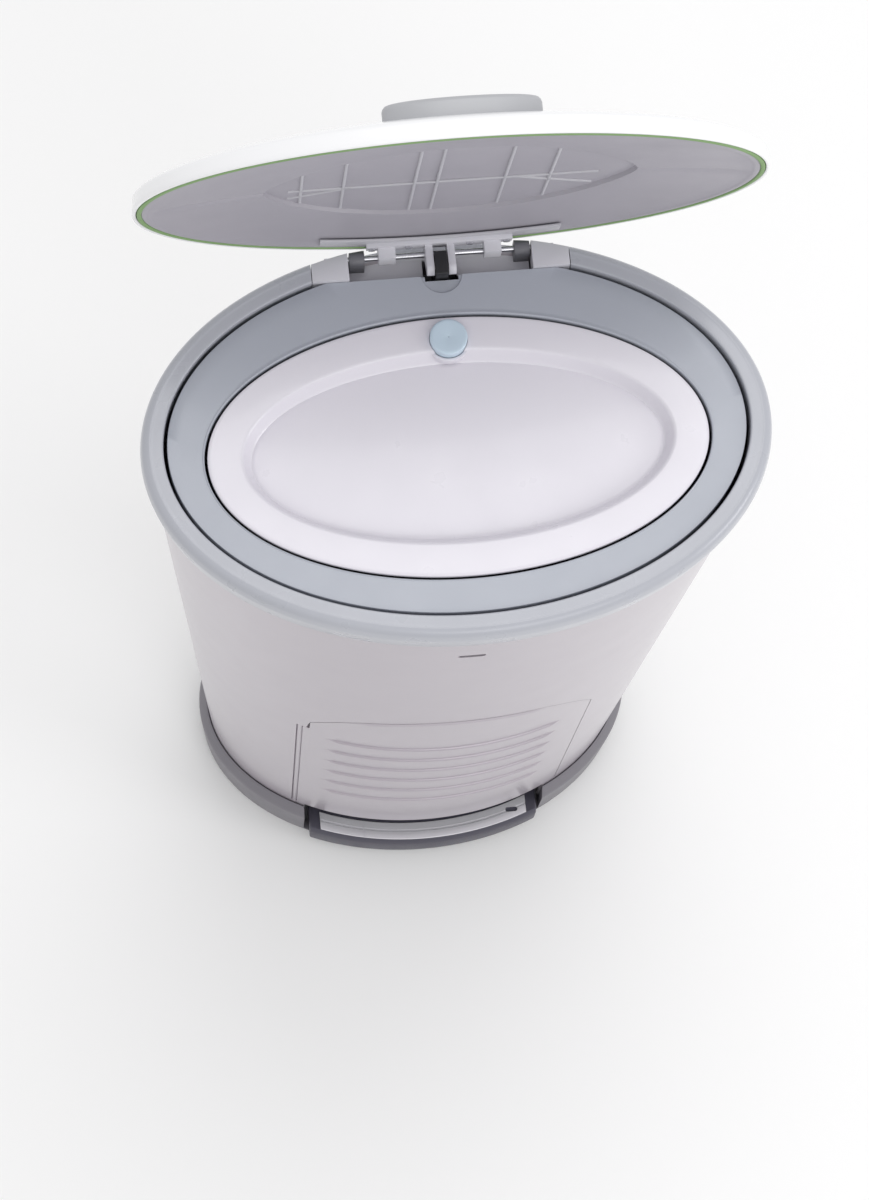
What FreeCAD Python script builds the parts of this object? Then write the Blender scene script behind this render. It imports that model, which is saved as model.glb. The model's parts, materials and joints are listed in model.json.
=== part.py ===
"""Oval pedal bin with a hinged lid, an odour trap flap, a push rod linkage and a front bag door.

The origin is on the floor under the middle of the rim. +Z is up, the pedal faces -Y, +X is to the
right of a person who stands at the pedal. The model stands as it does while the pedal is held down:
lid open, trap flap closed.
"""
import FreeCAD, Part
import math
import os
from FreeCAD import Vector

# Overall sizes, mm.
RIM_HEIGHT = 684.5
RIM_HALF_X = 203.0
RIM_HALF_Y = 136.65
FOOT_HALF_X = 175.2
FOOT_HALF_Y = 120.7
FOOT_SHIFT_Y = 1.6
GAP = 0.3

# Body tube.
BODY_WALL = 2.5
BODY_LOW = 20.0
RIM_OVERHANG = 6.0
RIM_OVER_BODY = 17.0

# Base ring, floor pan and pad.
RING_STEP = 8.0
RING_TOP = 60.0
RING_SLOPE = 10.0
RING_LIFT = 1.0
RING_TOP_STEP = 1.5
PAD_HALF_X = 150.0
PAD_HALF_Y = 95.0
PAD_THICK = 2.0
PAN_THICK = 3.0
INNER_FLOOR_LOW = 62.0
INNER_FLOOR_THICK = 3.0

# Rim collar and deck.
COLLAR_DROP = 31.8
COLLAR_FLARE = 3.0
COLLAR_SIDE_TOP = 10.0
COLLAR_SHOULDER = 3.5
COLLAR_SHOULDER_STEP = 1.6
COLLAR_CROWN_STEP = 6.5
BAND_WIDTH = 15.0
SHELF_WIDTH = 10.0
SHELF_THICK = 4.0
DECK_GROOVE = 2.3
DECK_SINK = 3.5
DECK_THICK = 3.0
DECK_SKIRT = 2.5
DECK_LIP_DEPTH = 7.0
DECK_LIP = 2.0

# Trap flap.
FLAP_HALF_X = 160.8
FLAP_HALF_Y = 87.5
FLAP_SHIFT_Y = -8.0
FLAP_SINK = 4.0
FLAP_WALL = 2.5
FLAP_GAP = 1.8
DISH_HALF_X = 132.7
DISH_HALF_Y = 59.3
DISH_SLOPE = 4.8
DISH_DEPTH = 10.0
TRAP_PIVOT_Y = 84.0
TRAP_PIVOT_DROP = 28.0
TRAP_PIN_R = 2.5
TRAP_ARM_X = 60.0
TRAP_ARM_THICK = 6.0
TRAP_EAR_THICK = 5.5
TRAP_EAR_FRONT = 7.0
TRAP_EAR_BACK = 10.0
TRAP_EAR_R = 6.0
TRAP_TURN_DEG = 60.0
CRANK_R = 16.35
CRANK_PIN_R = 2.0
CRANK_LUG_X = 3.6
CRANK_LUG_THICK = 3.0
CRANK_LUG_HALF = 5.0

# Push button on the flap.
BUTTON_R = 12.25
BUTTON_Y = 64.5
BUTTON_PROUD = 4.5
BUTTON_DEEP = 3.0
BUTTON_WALL = 2.0
BUTTON_CUP_DROP = 8.0
BUTTON_CUP_FLOOR = 1.5
SPRING_R = 8.0
SPRING_WIRE = 1.2

# Hinge of the lid.
HINGE_Y = 125.0
HINGE_DROP = 6.0
HINGE_ROD_R = 2.0
LID_TURN_DEG = 80.5
RUNNING_CLEARANCE = 0.05
NOTCH_HALF_X = 84.5
BLOCK_X0 = 60.0
BLOCK_X1 = 84.0
BLOCK_FRONT_Y = 109.0
EAR_X0 = 49.0
EAR_X1 = 59.0
EAR_R = 5.5
TRAY_THICK = 2.5
TRAY_DROP = 18.2
TRAY_FRONT_Y = 109.0
TRAY_ARCH = 4.0
TAB_X0 = 29.0
TAB_X1 = 40.0
LUG_X0 = 4.7
LUG_X1 = 9.5
LUG_R = 5.0
LEAF_HALF_X = 47.5
LEAF_DEPTH = 3.5
SCREW_INNER_X = 20.0
SCREW_OUTER_X = 44.0
SCREW_EDGE = 4.0
SCREW_HEAD = 1.2
SCREW_HEAD_R = 2.4
LEAF_Y0 = 112.0
LEAF_Y1 = 123.5
RECESS_HALF_X = 14.0
RECESS_FRONT_Y = 97.0

# Lid, sizes in its closed place.
SEAL_RISE = 0.5
LID_INSET = 7.0
LID_SKIRT = 9.0
DOME_CROWN = 90.0
# How far in from the lid's edge each section of the dome stands, and how high
DOME_SECTIONS = (
    (0.0, 0.0),
    (0.8, LID_SKIRT),
    (6.0, LID_SKIRT + 6.0),
    (24.0, LID_SKIRT + 11.0),
    (58.0, LID_SKIRT + 15.0),
)
LID_DOME = 26.0
LID_WALL = 2.4
SEAL_WIDTH = 3.0
SEAL_HEIGHT = 2.5
SEAL_INSET = 0.5
LINER_THICK = 2.0
LINER_FLANGE = 34.0
LINER_RECESS_HALF_X = 111.0
LINER_RECESS_HALF_Y = 58.0
LINER_RISE = 11.0
RIB_THICK = 1.6
RIB_DEPTH = 3.5
RIB_PITCH = 33.0
RIBS_PER_SIDE = 3
HANDLE_HALF_X = 47.0
HANDLE_HALF_Y = 15.0
HANDLE_Y = -103.0
HANDLE_RISE = 9.0

# Push rod: the link pin rides on the lid, the foot stands on the pedal lever.
LINK_PIN_R = 1.75
LINK_DY = -12.0
LINK_DZ = 5.4
ROD_HALF_X = 4.2
ROD_HALF_Y = 3.5
EYE_DY = -10.6
EYE_HALF_Y = 8.0
EYE_HALF_Z = 5.8
EYE_SLOT_HALF_Y = 5.3
EYE_SLOT_HALF_Z = 2.85
ROD_LOW_Y = 92.0
JOGGLE_DROP = 264.5
JOGGLE_HEIGHT = 40.0
ARM_HALF_X = 3.2
ARM_SLOT_PLAY = 0.25
ARM_WALL = 2.0
DUCT_GAP = 1.0
DUCT_WALL = 1.6
DUCT_DROP = 57.5
GUIDE_HEIGHT = 12.0
GUIDE_HALF_X = 14.0
GUIDE_GAP = 0.5

# Bag cassette and its shelf.
SHELF_Z = 470.0
CASSETTE_HEIGHT = 26.0
CASSETTE_HALF_X = 135.0
CASSETTE_HALF_Y = 84.0
CASSETTE_HOLE_X = 105.0
CASSETTE_HOLE_Y = 54.0
CASSETTE_WALL = 2.0
SHELF_HOLE_X = 118.0
SHELF_HOLE_Y = 66.0

# Pedal.
PEDAL_PIVOT_Y = 9.4
PEDAL_PIVOT_Z = 26.0
PEDAL_EAR_FOOT = 12.0
PEDAL_EAR_R = 6.0
PEDAL_PIN_R = 3.0
LEVER_HALF_X = 14.0
LEVER_HALF_Z = 3.5
LEVER_HUB_R = 7.0
LEVER_FRONT_Y = -112.0
LEVER_BACK_Y = 95.0
PEDAL_HALF_X = 94.0
PEDAL_LOW_Z = 8.0
PEDAL_TOP_Z = 36.0
PEDAL_PROUD = 6.0
PEDAL_DEPTH = 20.0
PEDAL_PLATE_THICK = 1.2
PEDAL_PLATE_HALF_X = 85.0
PEDAL_PLATE_MARGIN = 3.0
PEDAL_PLATE_DEPTH = 14.0
PEDAL_GAP_X = 4.0
PEDAL_OPENING_LOW = 6.0
PIVOT_EAR_THICK = 6.0

# Front door for the bag.
DOOR_HALF_X = 108.5
DOOR_LOW_Z = 66.0
DOOR_SIDE_TOP_Z = 352.0
DOOR_SHOULDER_X = 65.0
DOOR_SHOULDER_Z = 407.0
DOOR_TOP_Z = 420.0
DOOR_GAP = 0.6
DOOR_BULGE_X = 0.42
DOOR_BULGE_Z = 0.6
DOOR_CORNER_RELIEF = 5.9
DOOR_SWING_GAP = 0.7
DOOR_KNUCKLE_R = 2.6
DOOR_PIN_R = 1.25
DOOR_PIN_RELIEF = 0.5
DOOR_BOSS_R = 3.4
DOOR_PIN_TOP_Z = 384.0
DOOR_PIN_LOW_Z = 57.0
DOOR_BOSS_HEIGHT = 8.0
CATCH_HALF_X = 15.0
CATCH_CLEAR = 4.0
CATCH_HEIGHT = 12.0
CATCH_DEPTH = 5.0
STRIKE_LOW = 24.0
STRIKE_FOOT_TOP = 8.0
STRIKE_TIP = 3.0
STRIKE_FACE = BODY_WALL + 2.0
STRIKE_BACK = BODY_WALL + 4.0
CUTTER_LOW_Z = 320.0
CUTTER_TOP_Z = 344.0
CUTTER_X0 = 30.0
CUTTER_X1 = 62.0
CUTTER_SLIT_X0 = 44.0
CUTTER_SLIT_X1 = 47.0
CUTTER_FLOOR = 6.0
CUTTER_DEPTH = 8.0
LATCH_Z = 612.0
LATCH_HALF_X = 9.0
LATCH_HALF_Z = 2.6

# Sizes worked out from the ones above.
BODY_TOP = RIM_HEIGHT - RIM_OVER_BODY
HINGE_Z = RIM_HEIGHT - HINGE_DROP
JOGGLE_TOP_Z = RIM_HEIGHT - JOGGLE_DROP
JOGGLE_LOW_Z = JOGGLE_TOP_Z - JOGGLE_HEIGHT
DUCT_TOP_Z = RIM_HEIGHT - DUCT_DROP
TRAP_PIVOT_Z = RIM_HEIGHT - TRAP_PIVOT_DROP
SEAL_Z = RIM_HEIGHT + SEAL_RISE
DECK_TOP = RIM_HEIGHT - DECK_SINK
FLAP_TOP = RIM_HEIGHT - FLAP_SINK
LID_HALF_X = RIM_HALF_X - LID_INSET
LID_OVERLAP_Y = 0.35
LID_HALF_Y = RIM_HALF_Y - LID_INSET + LID_OVERLAP_Y
EYE_Y = HINGE_Y + EYE_DY
LINK_Y = HINGE_Y + LINK_DY
LINK_Z = HINGE_Z + LINK_DZ
CRANK_Y = TRAP_PIVOT_Y - CRANK_R * math.cos(math.radians(TRAP_TURN_DEG / 2))
CRANK_Z = TRAP_PIVOT_Z + CRANK_R * math.sin(math.radians(TRAP_TURN_DEG / 2))
FAR = RIM_HEIGHT


def body_half(z, inset=0.0):
    """Half sizes and centre shift of the tapering body at height z, moved in by inset."""
    share = (z - BODY_LOW) / (BODY_TOP - BODY_LOW)
    low_x = FOOT_HALF_X - RING_STEP
    low_y = FOOT_HALF_Y - RING_STEP
    top_x = RIM_HALF_X - RIM_OVERHANG
    top_y = RIM_HALF_Y - RIM_OVERHANG
    half_x = low_x + (top_x - low_x) * share - inset
    half_y = low_y + (top_y - low_y) * share - inset
    return half_x, half_y, FOOT_SHIFT_Y * (1.0 - share)


def oval(half_x, half_y, z, shift_y=0.0):
    return Part.Wire(Part.Ellipse(Vector(0, shift_y, z), half_x, half_y).toShape())


def oval_block(half_x, half_y, low, top, shift_y=0.0):
    return Part.Face(oval(half_x, half_y, low, shift_y)).extrude(Vector(0, 0, top - low))


def oval_stack(sections, shift_y=0.0):
    """Solid through ovals given as (half_x, half_y, z)."""
    wires = [oval(half_x, half_y, z, shift_y) for half_x, half_y, z in sections]
    return Part.makeLoft(wires, True, True)


def body_block(low, top, inset=0.0):
    """Solid slice of the tapering body between two heights."""
    wires = []
    for z in (low, top):
        half_x, half_y, shift_y = body_half(z, inset)
        wires.append(oval(half_x, half_y, z, shift_y))
    return Part.makeLoft(wires, True, True)


def box(x0, x1, y0, y1, z0, z1):
    return Part.makeBox(x1 - x0, y1 - y0, z1 - z0, Vector(x0, y0, z0))


def bar_x(y, z, radius, x0, x1):
    """Round bar along X."""
    return Part.makeCylinder(radius, x1 - x0, Vector(x0, y, z), Vector(1, 0, 0))


def profile_x(points, x0, x1):
    """Outline of (y, z) points, extruded along X."""
    corners = [Vector(x0, y, z) for y, z in points]
    outline = Part.makePolygon(corners + corners[:1])
    return Part.Face(outline).extrude(Vector(x1 - x0, 0, 0))


def slot_x(y, z, half_y, radius, x0, x1):
    """Round-ended bar or slot that runs along Y, extruded along X."""
    ends = [bar_x(y - half_y, z, radius, x0, x1), bar_x(y + half_y, z, radius, x0, x1)]
    middle = box(x0, x1, y - half_y, y + half_y, z - radius, z + radius)
    return middle.fuse(ends).removeSplitter()


def both_sides(shape):
    """The shape and its mirror image in the plane X = 0."""
    return [shape, shape.mirror(Vector(0, 0, 0), Vector(1, 0, 0))]


def lid_open(shape):
    """Turn a piece of the lid from its closed place to the open one."""
    turned = shape.copy()
    turned.rotate(Vector(0, HINGE_Y, HINGE_Z), Vector(1, 0, 0), -LID_TURN_DEG)
    return turned


def skin_y(x, z, inset=0.0):
    """Y of the body's front surface at x and z."""
    half_x, half_y, shift_y = body_half(z, inset)
    return shift_y - half_y * math.sqrt(1.0 - (x / half_x) ** 2)


def door_outline(grow):
    """Prism through the front wall with the door's outline, grown by a gap."""
    side = DOOR_HALF_X + grow
    low = DOOR_LOW_Z - grow
    shoulder = DOOR_SHOULDER_X
    shoulder_z = DOOR_SHOULDER_Z + grow
    bulge_x = side - (side - shoulder) * DOOR_BULGE_X
    bulge_z = DOOR_SIDE_TOP_Z + (shoulder_z - DOOR_SIDE_TOP_Z) * DOOR_BULGE_Z

    def at(x, z):
        return Vector(x, -FAR, z)

    edges = [
        Part.LineSegment(at(-side, low), at(side, low)).toShape(),
        Part.LineSegment(at(side, low), at(side, DOOR_SIDE_TOP_Z)).toShape(),
        Part.Arc(at(side, DOOR_SIDE_TOP_Z), at(bulge_x, bulge_z), at(shoulder, shoulder_z)).toShape(),
        Part.Arc(at(shoulder, shoulder_z), at(0, DOOR_TOP_Z + grow), at(-shoulder, shoulder_z)).toShape(),
        Part.Arc(at(-shoulder, shoulder_z), at(-bulge_x, bulge_z), at(-side, DOOR_SIDE_TOP_Z)).toShape(),
        Part.LineSegment(at(-side, DOOR_SIDE_TOP_Z), at(-side, low)).toShape(),
    ]
    return Part.Face(Part.Wire(edges)).extrude(Vector(0, FAR, 0))


def door_axis():
    """Foot and head of the door's hinge axis, along the left edge just inside the skin."""
    x = -DOOR_HALF_X + DOOR_KNUCKLE_R
    points = []
    for z in (DOOR_PIN_LOW_Z, DOOR_PIN_TOP_Z):
        half_x, half_y, shift_y = body_half(z)
        y = skin_y(x, z)
        normal = Vector(x / half_x ** 2, (y - shift_y) / half_y ** 2, 0).normalize()
        points.append(Vector(x, y, z) - normal * DOOR_KNUCKLE_R)
    return points


def door_bar(radius, low_z, top_z):
    """Round bar on the door's hinge axis between two heights."""
    foot, head = door_axis()
    along = head - foot
    start = foot + along * ((low_z - foot.z) / along.z)
    end = foot + along * ((top_z - foot.z) / along.z)
    return Part.makeCylinder(radius, (end - start).Length, start, along)


def pedal_opening():
    half = PEDAL_HALF_X + PEDAL_GAP_X
    return box(-half, half, -FAR, 0, PEDAL_OPENING_LOW, DOOR_LOW_Z - DOOR_GAP)


def body_shell():
    shell = body_block(BODY_LOW, BODY_TOP).cut(body_block(BODY_LOW - 1, BODY_TOP + 1, BODY_WALL))
    bosses = []
    for low in (DOOR_PIN_LOW_Z, DOOR_PIN_TOP_Z - DOOR_BOSS_HEIGHT):
        boss = door_bar(DOOR_BOSS_R, low, low + DOOR_BOSS_HEIGHT)
        bosses.append(boss.common(body_block(BODY_LOW, BODY_TOP)))
    latch = box(-LATCH_HALF_X, LATCH_HALF_X, -FAR, 0, LATCH_Z - LATCH_HALF_Z, LATCH_Z + LATCH_HALF_Z)
    shell = shell.cut([door_outline(DOOR_GAP), pedal_opening()])
    shell = shell.fuse(bosses)
    pin = door_bar(DOOR_PIN_R + RUNNING_CLEARANCE, DOOR_PIN_LOW_Z - 1, DOOR_PIN_TOP_Z + 1)
    return shell.cut([pin, latch])


def base_ring():
    steps = ((RING_LIFT, -RING_STEP), (RING_TOP - RING_SLOPE, -RING_STEP), (RING_TOP, -RING_TOP_STEP))
    wires = []
    for z, inset in steps:
        half_x, half_y, shift_y = body_half(z, inset)
        wires.append(oval(half_x, half_y, z, shift_y))
    ring = Part.makeLoft(wires, True, True)
    return ring.cut([body_block(0, RING_TOP + 1, -GAP), pedal_opening()])


def floor_pan():
    low = PAD_THICK
    pan = body_block(low, low + PAN_THICK)
    ear_x0 = LEVER_HALF_X + 1.0
    ear = profile_x(
        [
            (PEDAL_PIVOT_Y - PEDAL_EAR_FOOT, low + PAN_THICK),
            (PEDAL_PIVOT_Y + PEDAL_EAR_FOOT, low + PAN_THICK),
            (PEDAL_PIVOT_Y + PEDAL_EAR_R, PEDAL_PIVOT_Z + PEDAL_EAR_R),
            (PEDAL_PIVOT_Y - PEDAL_EAR_R, PEDAL_PIVOT_Z + PEDAL_EAR_R),
        ],
        ear_x0,
        ear_x0 + PIVOT_EAR_THICK,
    )
    pan = pan.fuse(both_sides(ear))
    reach = ear_x0 + PIVOT_EAR_THICK + 1
    return pan.cut(bar_x(PEDAL_PIVOT_Y, PEDAL_PIVOT_Z, PEDAL_PIN_R, -reach, reach))


def base_pad():
    return oval_block(PAD_HALF_X, PAD_HALF_Y, 0, PAD_THICK)


def rod_passage(low, top):
    """Room for the lower push rod and its duct's inside."""
    half_x = ROD_HALF_X + DUCT_GAP
    half_y = ROD_HALF_Y + DUCT_GAP
    return box(-half_x, half_x, ROD_LOW_Y - half_y, ROD_LOW_Y + half_y, low, top)


def inner_floor():
    top = INNER_FLOOR_LOW + INNER_FLOOR_THICK
    plate = body_block(INNER_FLOOR_LOW, top, BODY_WALL + GAP)
    boss_room = door_bar(DOOR_BOSS_R + GAP, DOOR_PIN_LOW_Z, DOOR_PIN_LOW_Z + DOOR_BOSS_HEIGHT + 1)
    knuckle_room = door_bar(DOOR_KNUCKLE_R + 1.0, DOOR_LOW_Z - 5, top + 1)
    return plate.cut([rod_passage(INNER_FLOOR_LOW - 1, top + 1), boss_room, knuckle_room])


def rim_notch():
    """Room for the lid's hinge at the back of the rim."""
    return box(-NOTCH_HALF_X, NOTCH_HALF_X, RECESS_FRONT_Y, FAR, BODY_TOP, FAR * 2)


def rim_collar():
    flare_x = RIM_HALF_X - RIM_OVERHANG + COLLAR_FLARE
    flare_y = RIM_HALF_Y - RIM_OVERHANG + COLLAR_FLARE
    outside = oval_stack(
        [
            (flare_x, flare_y, RIM_HEIGHT - COLLAR_DROP),
            (RIM_HALF_X, RIM_HALF_Y, RIM_HEIGHT - COLLAR_SIDE_TOP),
            (
                RIM_HALF_X - COLLAR_SHOULDER_STEP,
                RIM_HALF_Y - COLLAR_SHOULDER_STEP,
                RIM_HEIGHT - COLLAR_SHOULDER,
            ),
            (RIM_HALF_X - COLLAR_CROWN_STEP, RIM_HALF_Y - COLLAR_CROWN_STEP, RIM_HEIGHT),
        ]
    )
    body_room = body_block(RIM_HEIGHT - COLLAR_DROP - 1, BODY_TOP, -GAP)
    mouth = oval_block(RIM_HALF_X - BAND_WIDTH, RIM_HALF_Y - BAND_WIDTH, BODY_TOP, RIM_HEIGHT + 1)
    collar = outside.cut([body_room, mouth])
    shelf_low = BODY_TOP - SHELF_THICK
    shelf = body_block(shelf_low, BODY_TOP, BODY_WALL + GAP)
    hole_x = RIM_HALF_X - BAND_WIDTH - SHELF_WIDTH
    hole_y = RIM_HALF_Y - BAND_WIDTH - SHELF_WIDTH
    shelf = shelf.cut(oval_block(hole_x, hole_y, shelf_low - 1, BODY_TOP + 1))
    shelf = shelf.cut(box(-NOTCH_HALF_X, NOTCH_HALF_X, 0, FAR, 0, FAR * 2))
    return collar.fuse(shelf).cut(rim_notch()).removeSplitter()


def ear_profile():
    """Upright ear that carries the hinge rod."""
    ear = bar_x(HINGE_Y, HINGE_Z, EAR_R, EAR_X0, EAR_X1)
    leg = box(EAR_X0, EAR_X1, HINGE_Y - EAR_R, HINGE_Y + EAR_R, BODY_TOP, HINGE_Z)
    inside = oval_block(RIM_HALF_X - COLLAR_FLARE, RIM_HALF_Y - COLLAR_FLARE, BODY_TOP + GAP, FAR * 2)
    return ear.fuse(leg).common(inside)


def deck_plate():
    half_x = RIM_HALF_X - BAND_WIDTH - DECK_GROOVE
    half_y = RIM_HALF_Y - BAND_WIDTH - DECK_GROOVE
    hole_x = FLAP_HALF_X + FLAP_GAP
    hole_y = FLAP_HALF_Y + FLAP_GAP
    low = DECK_TOP - DECK_THICK
    plate = oval_block(half_x, half_y, low, DECK_TOP)
    skirt = oval_block(half_x, half_y, BODY_TOP, low)
    skirt = skirt.cut(oval_block(half_x - DECK_SKIRT, half_y - DECK_SKIRT, BODY_TOP - 1, low + 1))
    lip_low = DECK_TOP - DECK_LIP_DEPTH
    lip = oval_block(hole_x + DECK_LIP, hole_y + DECK_LIP, lip_low, DECK_TOP, FLAP_SHIFT_Y)
    deck = plate.fuse([skirt, lip])
    hole = oval_block(hole_x, hole_y, BODY_TOP - 1, DECK_TOP + 1, FLAP_SHIFT_Y)
    pit = box(-NOTCH_HALF_X, NOTCH_HALF_X, BLOCK_FRONT_Y - GAP, FAR, BODY_TOP - 1, FAR * 2)
    recess_y = RECESS_FRONT_Y + RECESS_HALF_X
    recess_low = BODY_TOP - 1
    recess = box(-RECESS_HALF_X, RECESS_HALF_X, recess_y - RECESS_HALF_X / 2, FAR, recess_low, FAR * 2)
    recess_end = Part.makeCylinder(RECESS_HALF_X, FAR, Vector(0, recess_y, recess_low))
    deck = deck.cut([hole, pit, recess, recess_end])
    ear_x0 = TRAP_ARM_X + TRAP_ARM_THICK + 1.0
    ear = profile_x(
        [
            (TRAP_PIVOT_Y - TRAP_EAR_FRONT, low),
            (TRAP_PIVOT_Y + TRAP_EAR_BACK, low),
            (TRAP_PIVOT_Y + TRAP_EAR_R, TRAP_PIVOT_Z - TRAP_EAR_R),
            (TRAP_PIVOT_Y - TRAP_EAR_R, TRAP_PIVOT_Z - TRAP_EAR_R),
        ],
        ear_x0,
        ear_x0 + TRAP_EAR_THICK,
    )
    deck = deck.fuse(both_sides(ear))
    pin = bar_x(TRAP_PIVOT_Y, TRAP_PIVOT_Z, TRAP_PIN_R, -FAR, FAR)
    return deck.cut(pin).removeSplitter()


def hinge_tray():
    """Light plate under the hinge rod, with a seat for each of the rod's ears."""
    low = RIM_HEIGHT - TRAY_DROP
    top = low + TRAY_THICK
    half_x = BLOCK_X0 - 1.0

    def at(x, y):
        return Vector(x, y, low)

    front = Part.Arc(at(-half_x, TRAY_FRONT_Y), at(0, TRAY_FRONT_Y + TRAY_ARCH), at(half_x, TRAY_FRONT_Y))
    edges = [
        front.toShape(),
        Part.LineSegment(at(half_x, TRAY_FRONT_Y), at(half_x, FAR)).toShape(),
        Part.LineSegment(at(half_x, FAR), at(-half_x, FAR)).toShape(),
        Part.LineSegment(at(-half_x, FAR), at(-half_x, TRAY_FRONT_Y)).toShape(),
    ]
    plate = Part.Face(Part.Wire(edges)).extrude(Vector(0, 0, TRAY_THICK))
    plate = plate.common(body_block(low - 1, top + 1, BODY_WALL + GAP))
    slot_half = LUG_X1 + 1.5
    plate = plate.cut(box(-slot_half, slot_half, 0, HINGE_Y, low - 1, top + 1))
    seat = box(EAR_X0, EAR_X1, HINGE_Y - EAR_R, FAR, BODY_TOP, top + 1)
    for cutter in both_sides(seat):
        plate = plate.cut(cutter)
    return plate


def hinge_ears():
    ears = both_sides(ear_profile())
    rod = bar_x(HINGE_Y, HINGE_Z, HINGE_ROD_R, -FAR, FAR)
    return Part.makeCompound([ear.cut(rod) for ear in ears])


def hinge_block(side):
    """Block that clamps the end of the hinge rod, in a lower and an upper half."""
    low = BODY_TOP + GAP
    seam = 0.8
    block = box(BLOCK_X0, BLOCK_X1, BLOCK_FRONT_Y, HINGE_Y + 6, low, RIM_HEIGHT - GAP)
    outline = oval_block(RIM_HALF_X - COLLAR_FLARE, RIM_HALF_Y - COLLAR_FLARE, 0, FAR * 2)
    block = block.common(outline)
    block = block.cut(box(BLOCK_X0 - 1, BLOCK_X1 + 1, 0, HINGE_Y - 5, HINGE_Z - seam, HINGE_Z))
    rod = bar_x(HINGE_Y, HINGE_Z, HINGE_ROD_R, BLOCK_X0 - 1, rod_half() + 0.1)
    block = block.cut(rod)
    return both_sides(block)[side]


def rod_half():
    return BLOCK_X0 + 15.0


def hinge_rod():
    return bar_x(HINGE_Y, HINGE_Z, HINGE_ROD_R, -rod_half(), rod_half())


def trap_pin(side):
    x0 = TRAP_ARM_X - 2.0
    x1 = TRAP_ARM_X + TRAP_ARM_THICK + 1.0 + TRAP_EAR_THICK
    return both_sides(bar_x(TRAP_PIVOT_Y, TRAP_PIVOT_Z, TRAP_PIN_R, x0, x1))[side]


def rod_line(front):
    """Points of the push rod's front or back face, from the foot to the top."""
    shift = -ROD_HALF_Y - front if front >= 0 else ROD_HALF_Y - front
    return [
        (ROD_LOW_Y + shift, 0.0),
        (ROD_LOW_Y + shift, JOGGLE_LOW_Z),
        (EYE_Y + shift, JOGGLE_TOP_Z),
        (EYE_Y + shift, RIM_HEIGHT),
    ]


def rod_duct():
    """Channel along the back wall that keeps the bag off the push rod."""
    low = INNER_FLOOR_LOW + INNER_FLOOR_THICK
    wall_x = ROD_HALF_X + DUCT_GAP + DUCT_WALL
    outer = rod_line(DUCT_GAP + DUCT_WALL) + [(FAR, RIM_HEIGHT), (FAR, 0.0)]
    inner = rod_line(DUCT_GAP) + [(FAR, RIM_HEIGHT), (FAR, 0.0)]
    duct = profile_x(outer, -wall_x, wall_x)
    duct = duct.cut(profile_x(inner, -wall_x + DUCT_WALL, wall_x - DUCT_WALL))
    return duct.common(body_block(low, DUCT_TOP_Z, BODY_WALL + GAP))


def rod_guide():
    """Bracket on the back wall that steers the top of the push rod."""
    low = DUCT_TOP_Z + 1.0
    top = low + GUIDE_HEIGHT
    guide = box(-GUIDE_HALF_X, GUIDE_HALF_X, EYE_Y - ROD_HALF_Y - 4.0, FAR, low, top)
    guide = guide.common(body_block(low, top, BODY_WALL + GAP))
    half_x = ROD_HALF_X + GUIDE_GAP
    half_y = ROD_HALF_Y + GUIDE_GAP
    return guide.cut(box(-half_x, half_x, EYE_Y - half_y, EYE_Y + half_y, low - 1, top + 1))


def cassette_shelf():
    plate = body_block(SHELF_Z, SHELF_Z + SHELF_THICK, BODY_WALL + GAP)
    hole = oval_block(SHELF_HOLE_X, SHELF_HOLE_Y, SHELF_Z - 1, SHELF_Z + SHELF_THICK + 1)
    side = ROD_HALF_X + DUCT_GAP + DUCT_WALL + GAP
    front = EYE_Y - ROD_HALF_Y - DUCT_GAP - DUCT_WALL - GAP
    passage = box(-side, side, front, FAR, SHELF_Z - 1, SHELF_Z + SHELF_THICK + 1)
    return plate.cut([hole, passage])


def bag_cassette():
    """Hollow ring that holds the film, open along its top inner edge."""
    low = SHELF_Z + SHELF_THICK
    top = low + CASSETTE_HEIGHT
    ring = oval_block(CASSETTE_HALF_X, CASSETTE_HALF_Y, low, top)
    ring = ring.cut(oval_block(CASSETTE_HOLE_X, CASSETTE_HOLE_Y, low - 1, top + 1))
    inside_x = CASSETTE_HALF_X - CASSETTE_WALL
    inside_y = CASSETTE_HALF_Y - CASSETTE_WALL
    inside = oval_block(inside_x, inside_y, low + CASSETTE_WALL, top + 1)
    core = oval_block(CASSETTE_HOLE_X + CASSETTE_WALL, CASSETTE_HOLE_Y + CASSETTE_WALL, low, top + 2)
    return ring.cut(inside.cut(core))


def pedal_pin():
    half = LEVER_HALF_X + 1.0 + PIVOT_EAR_THICK
    return bar_x(PEDAL_PIVOT_Y, PEDAL_PIVOT_Z, PEDAL_PIN_R, -half, half)


def slot_insert():
    """Dark cup behind the latch slot."""
    half_x = LATCH_HALF_X + 3.0
    half_z = LATCH_HALF_Z + 3.0
    low = LATCH_Z - half_z
    top = LATCH_Z + half_z
    cup = body_block(low, top, BODY_WALL).cut(body_block(low - 1, top + 1, BODY_WALL + 3.0))
    return cup.common(box(-half_x, half_x, -FAR, 0, low, top))


def door_pin():
    return door_bar(DOOR_PIN_R, DOOR_PIN_LOW_Z, DOOR_PIN_TOP_Z)


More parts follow.
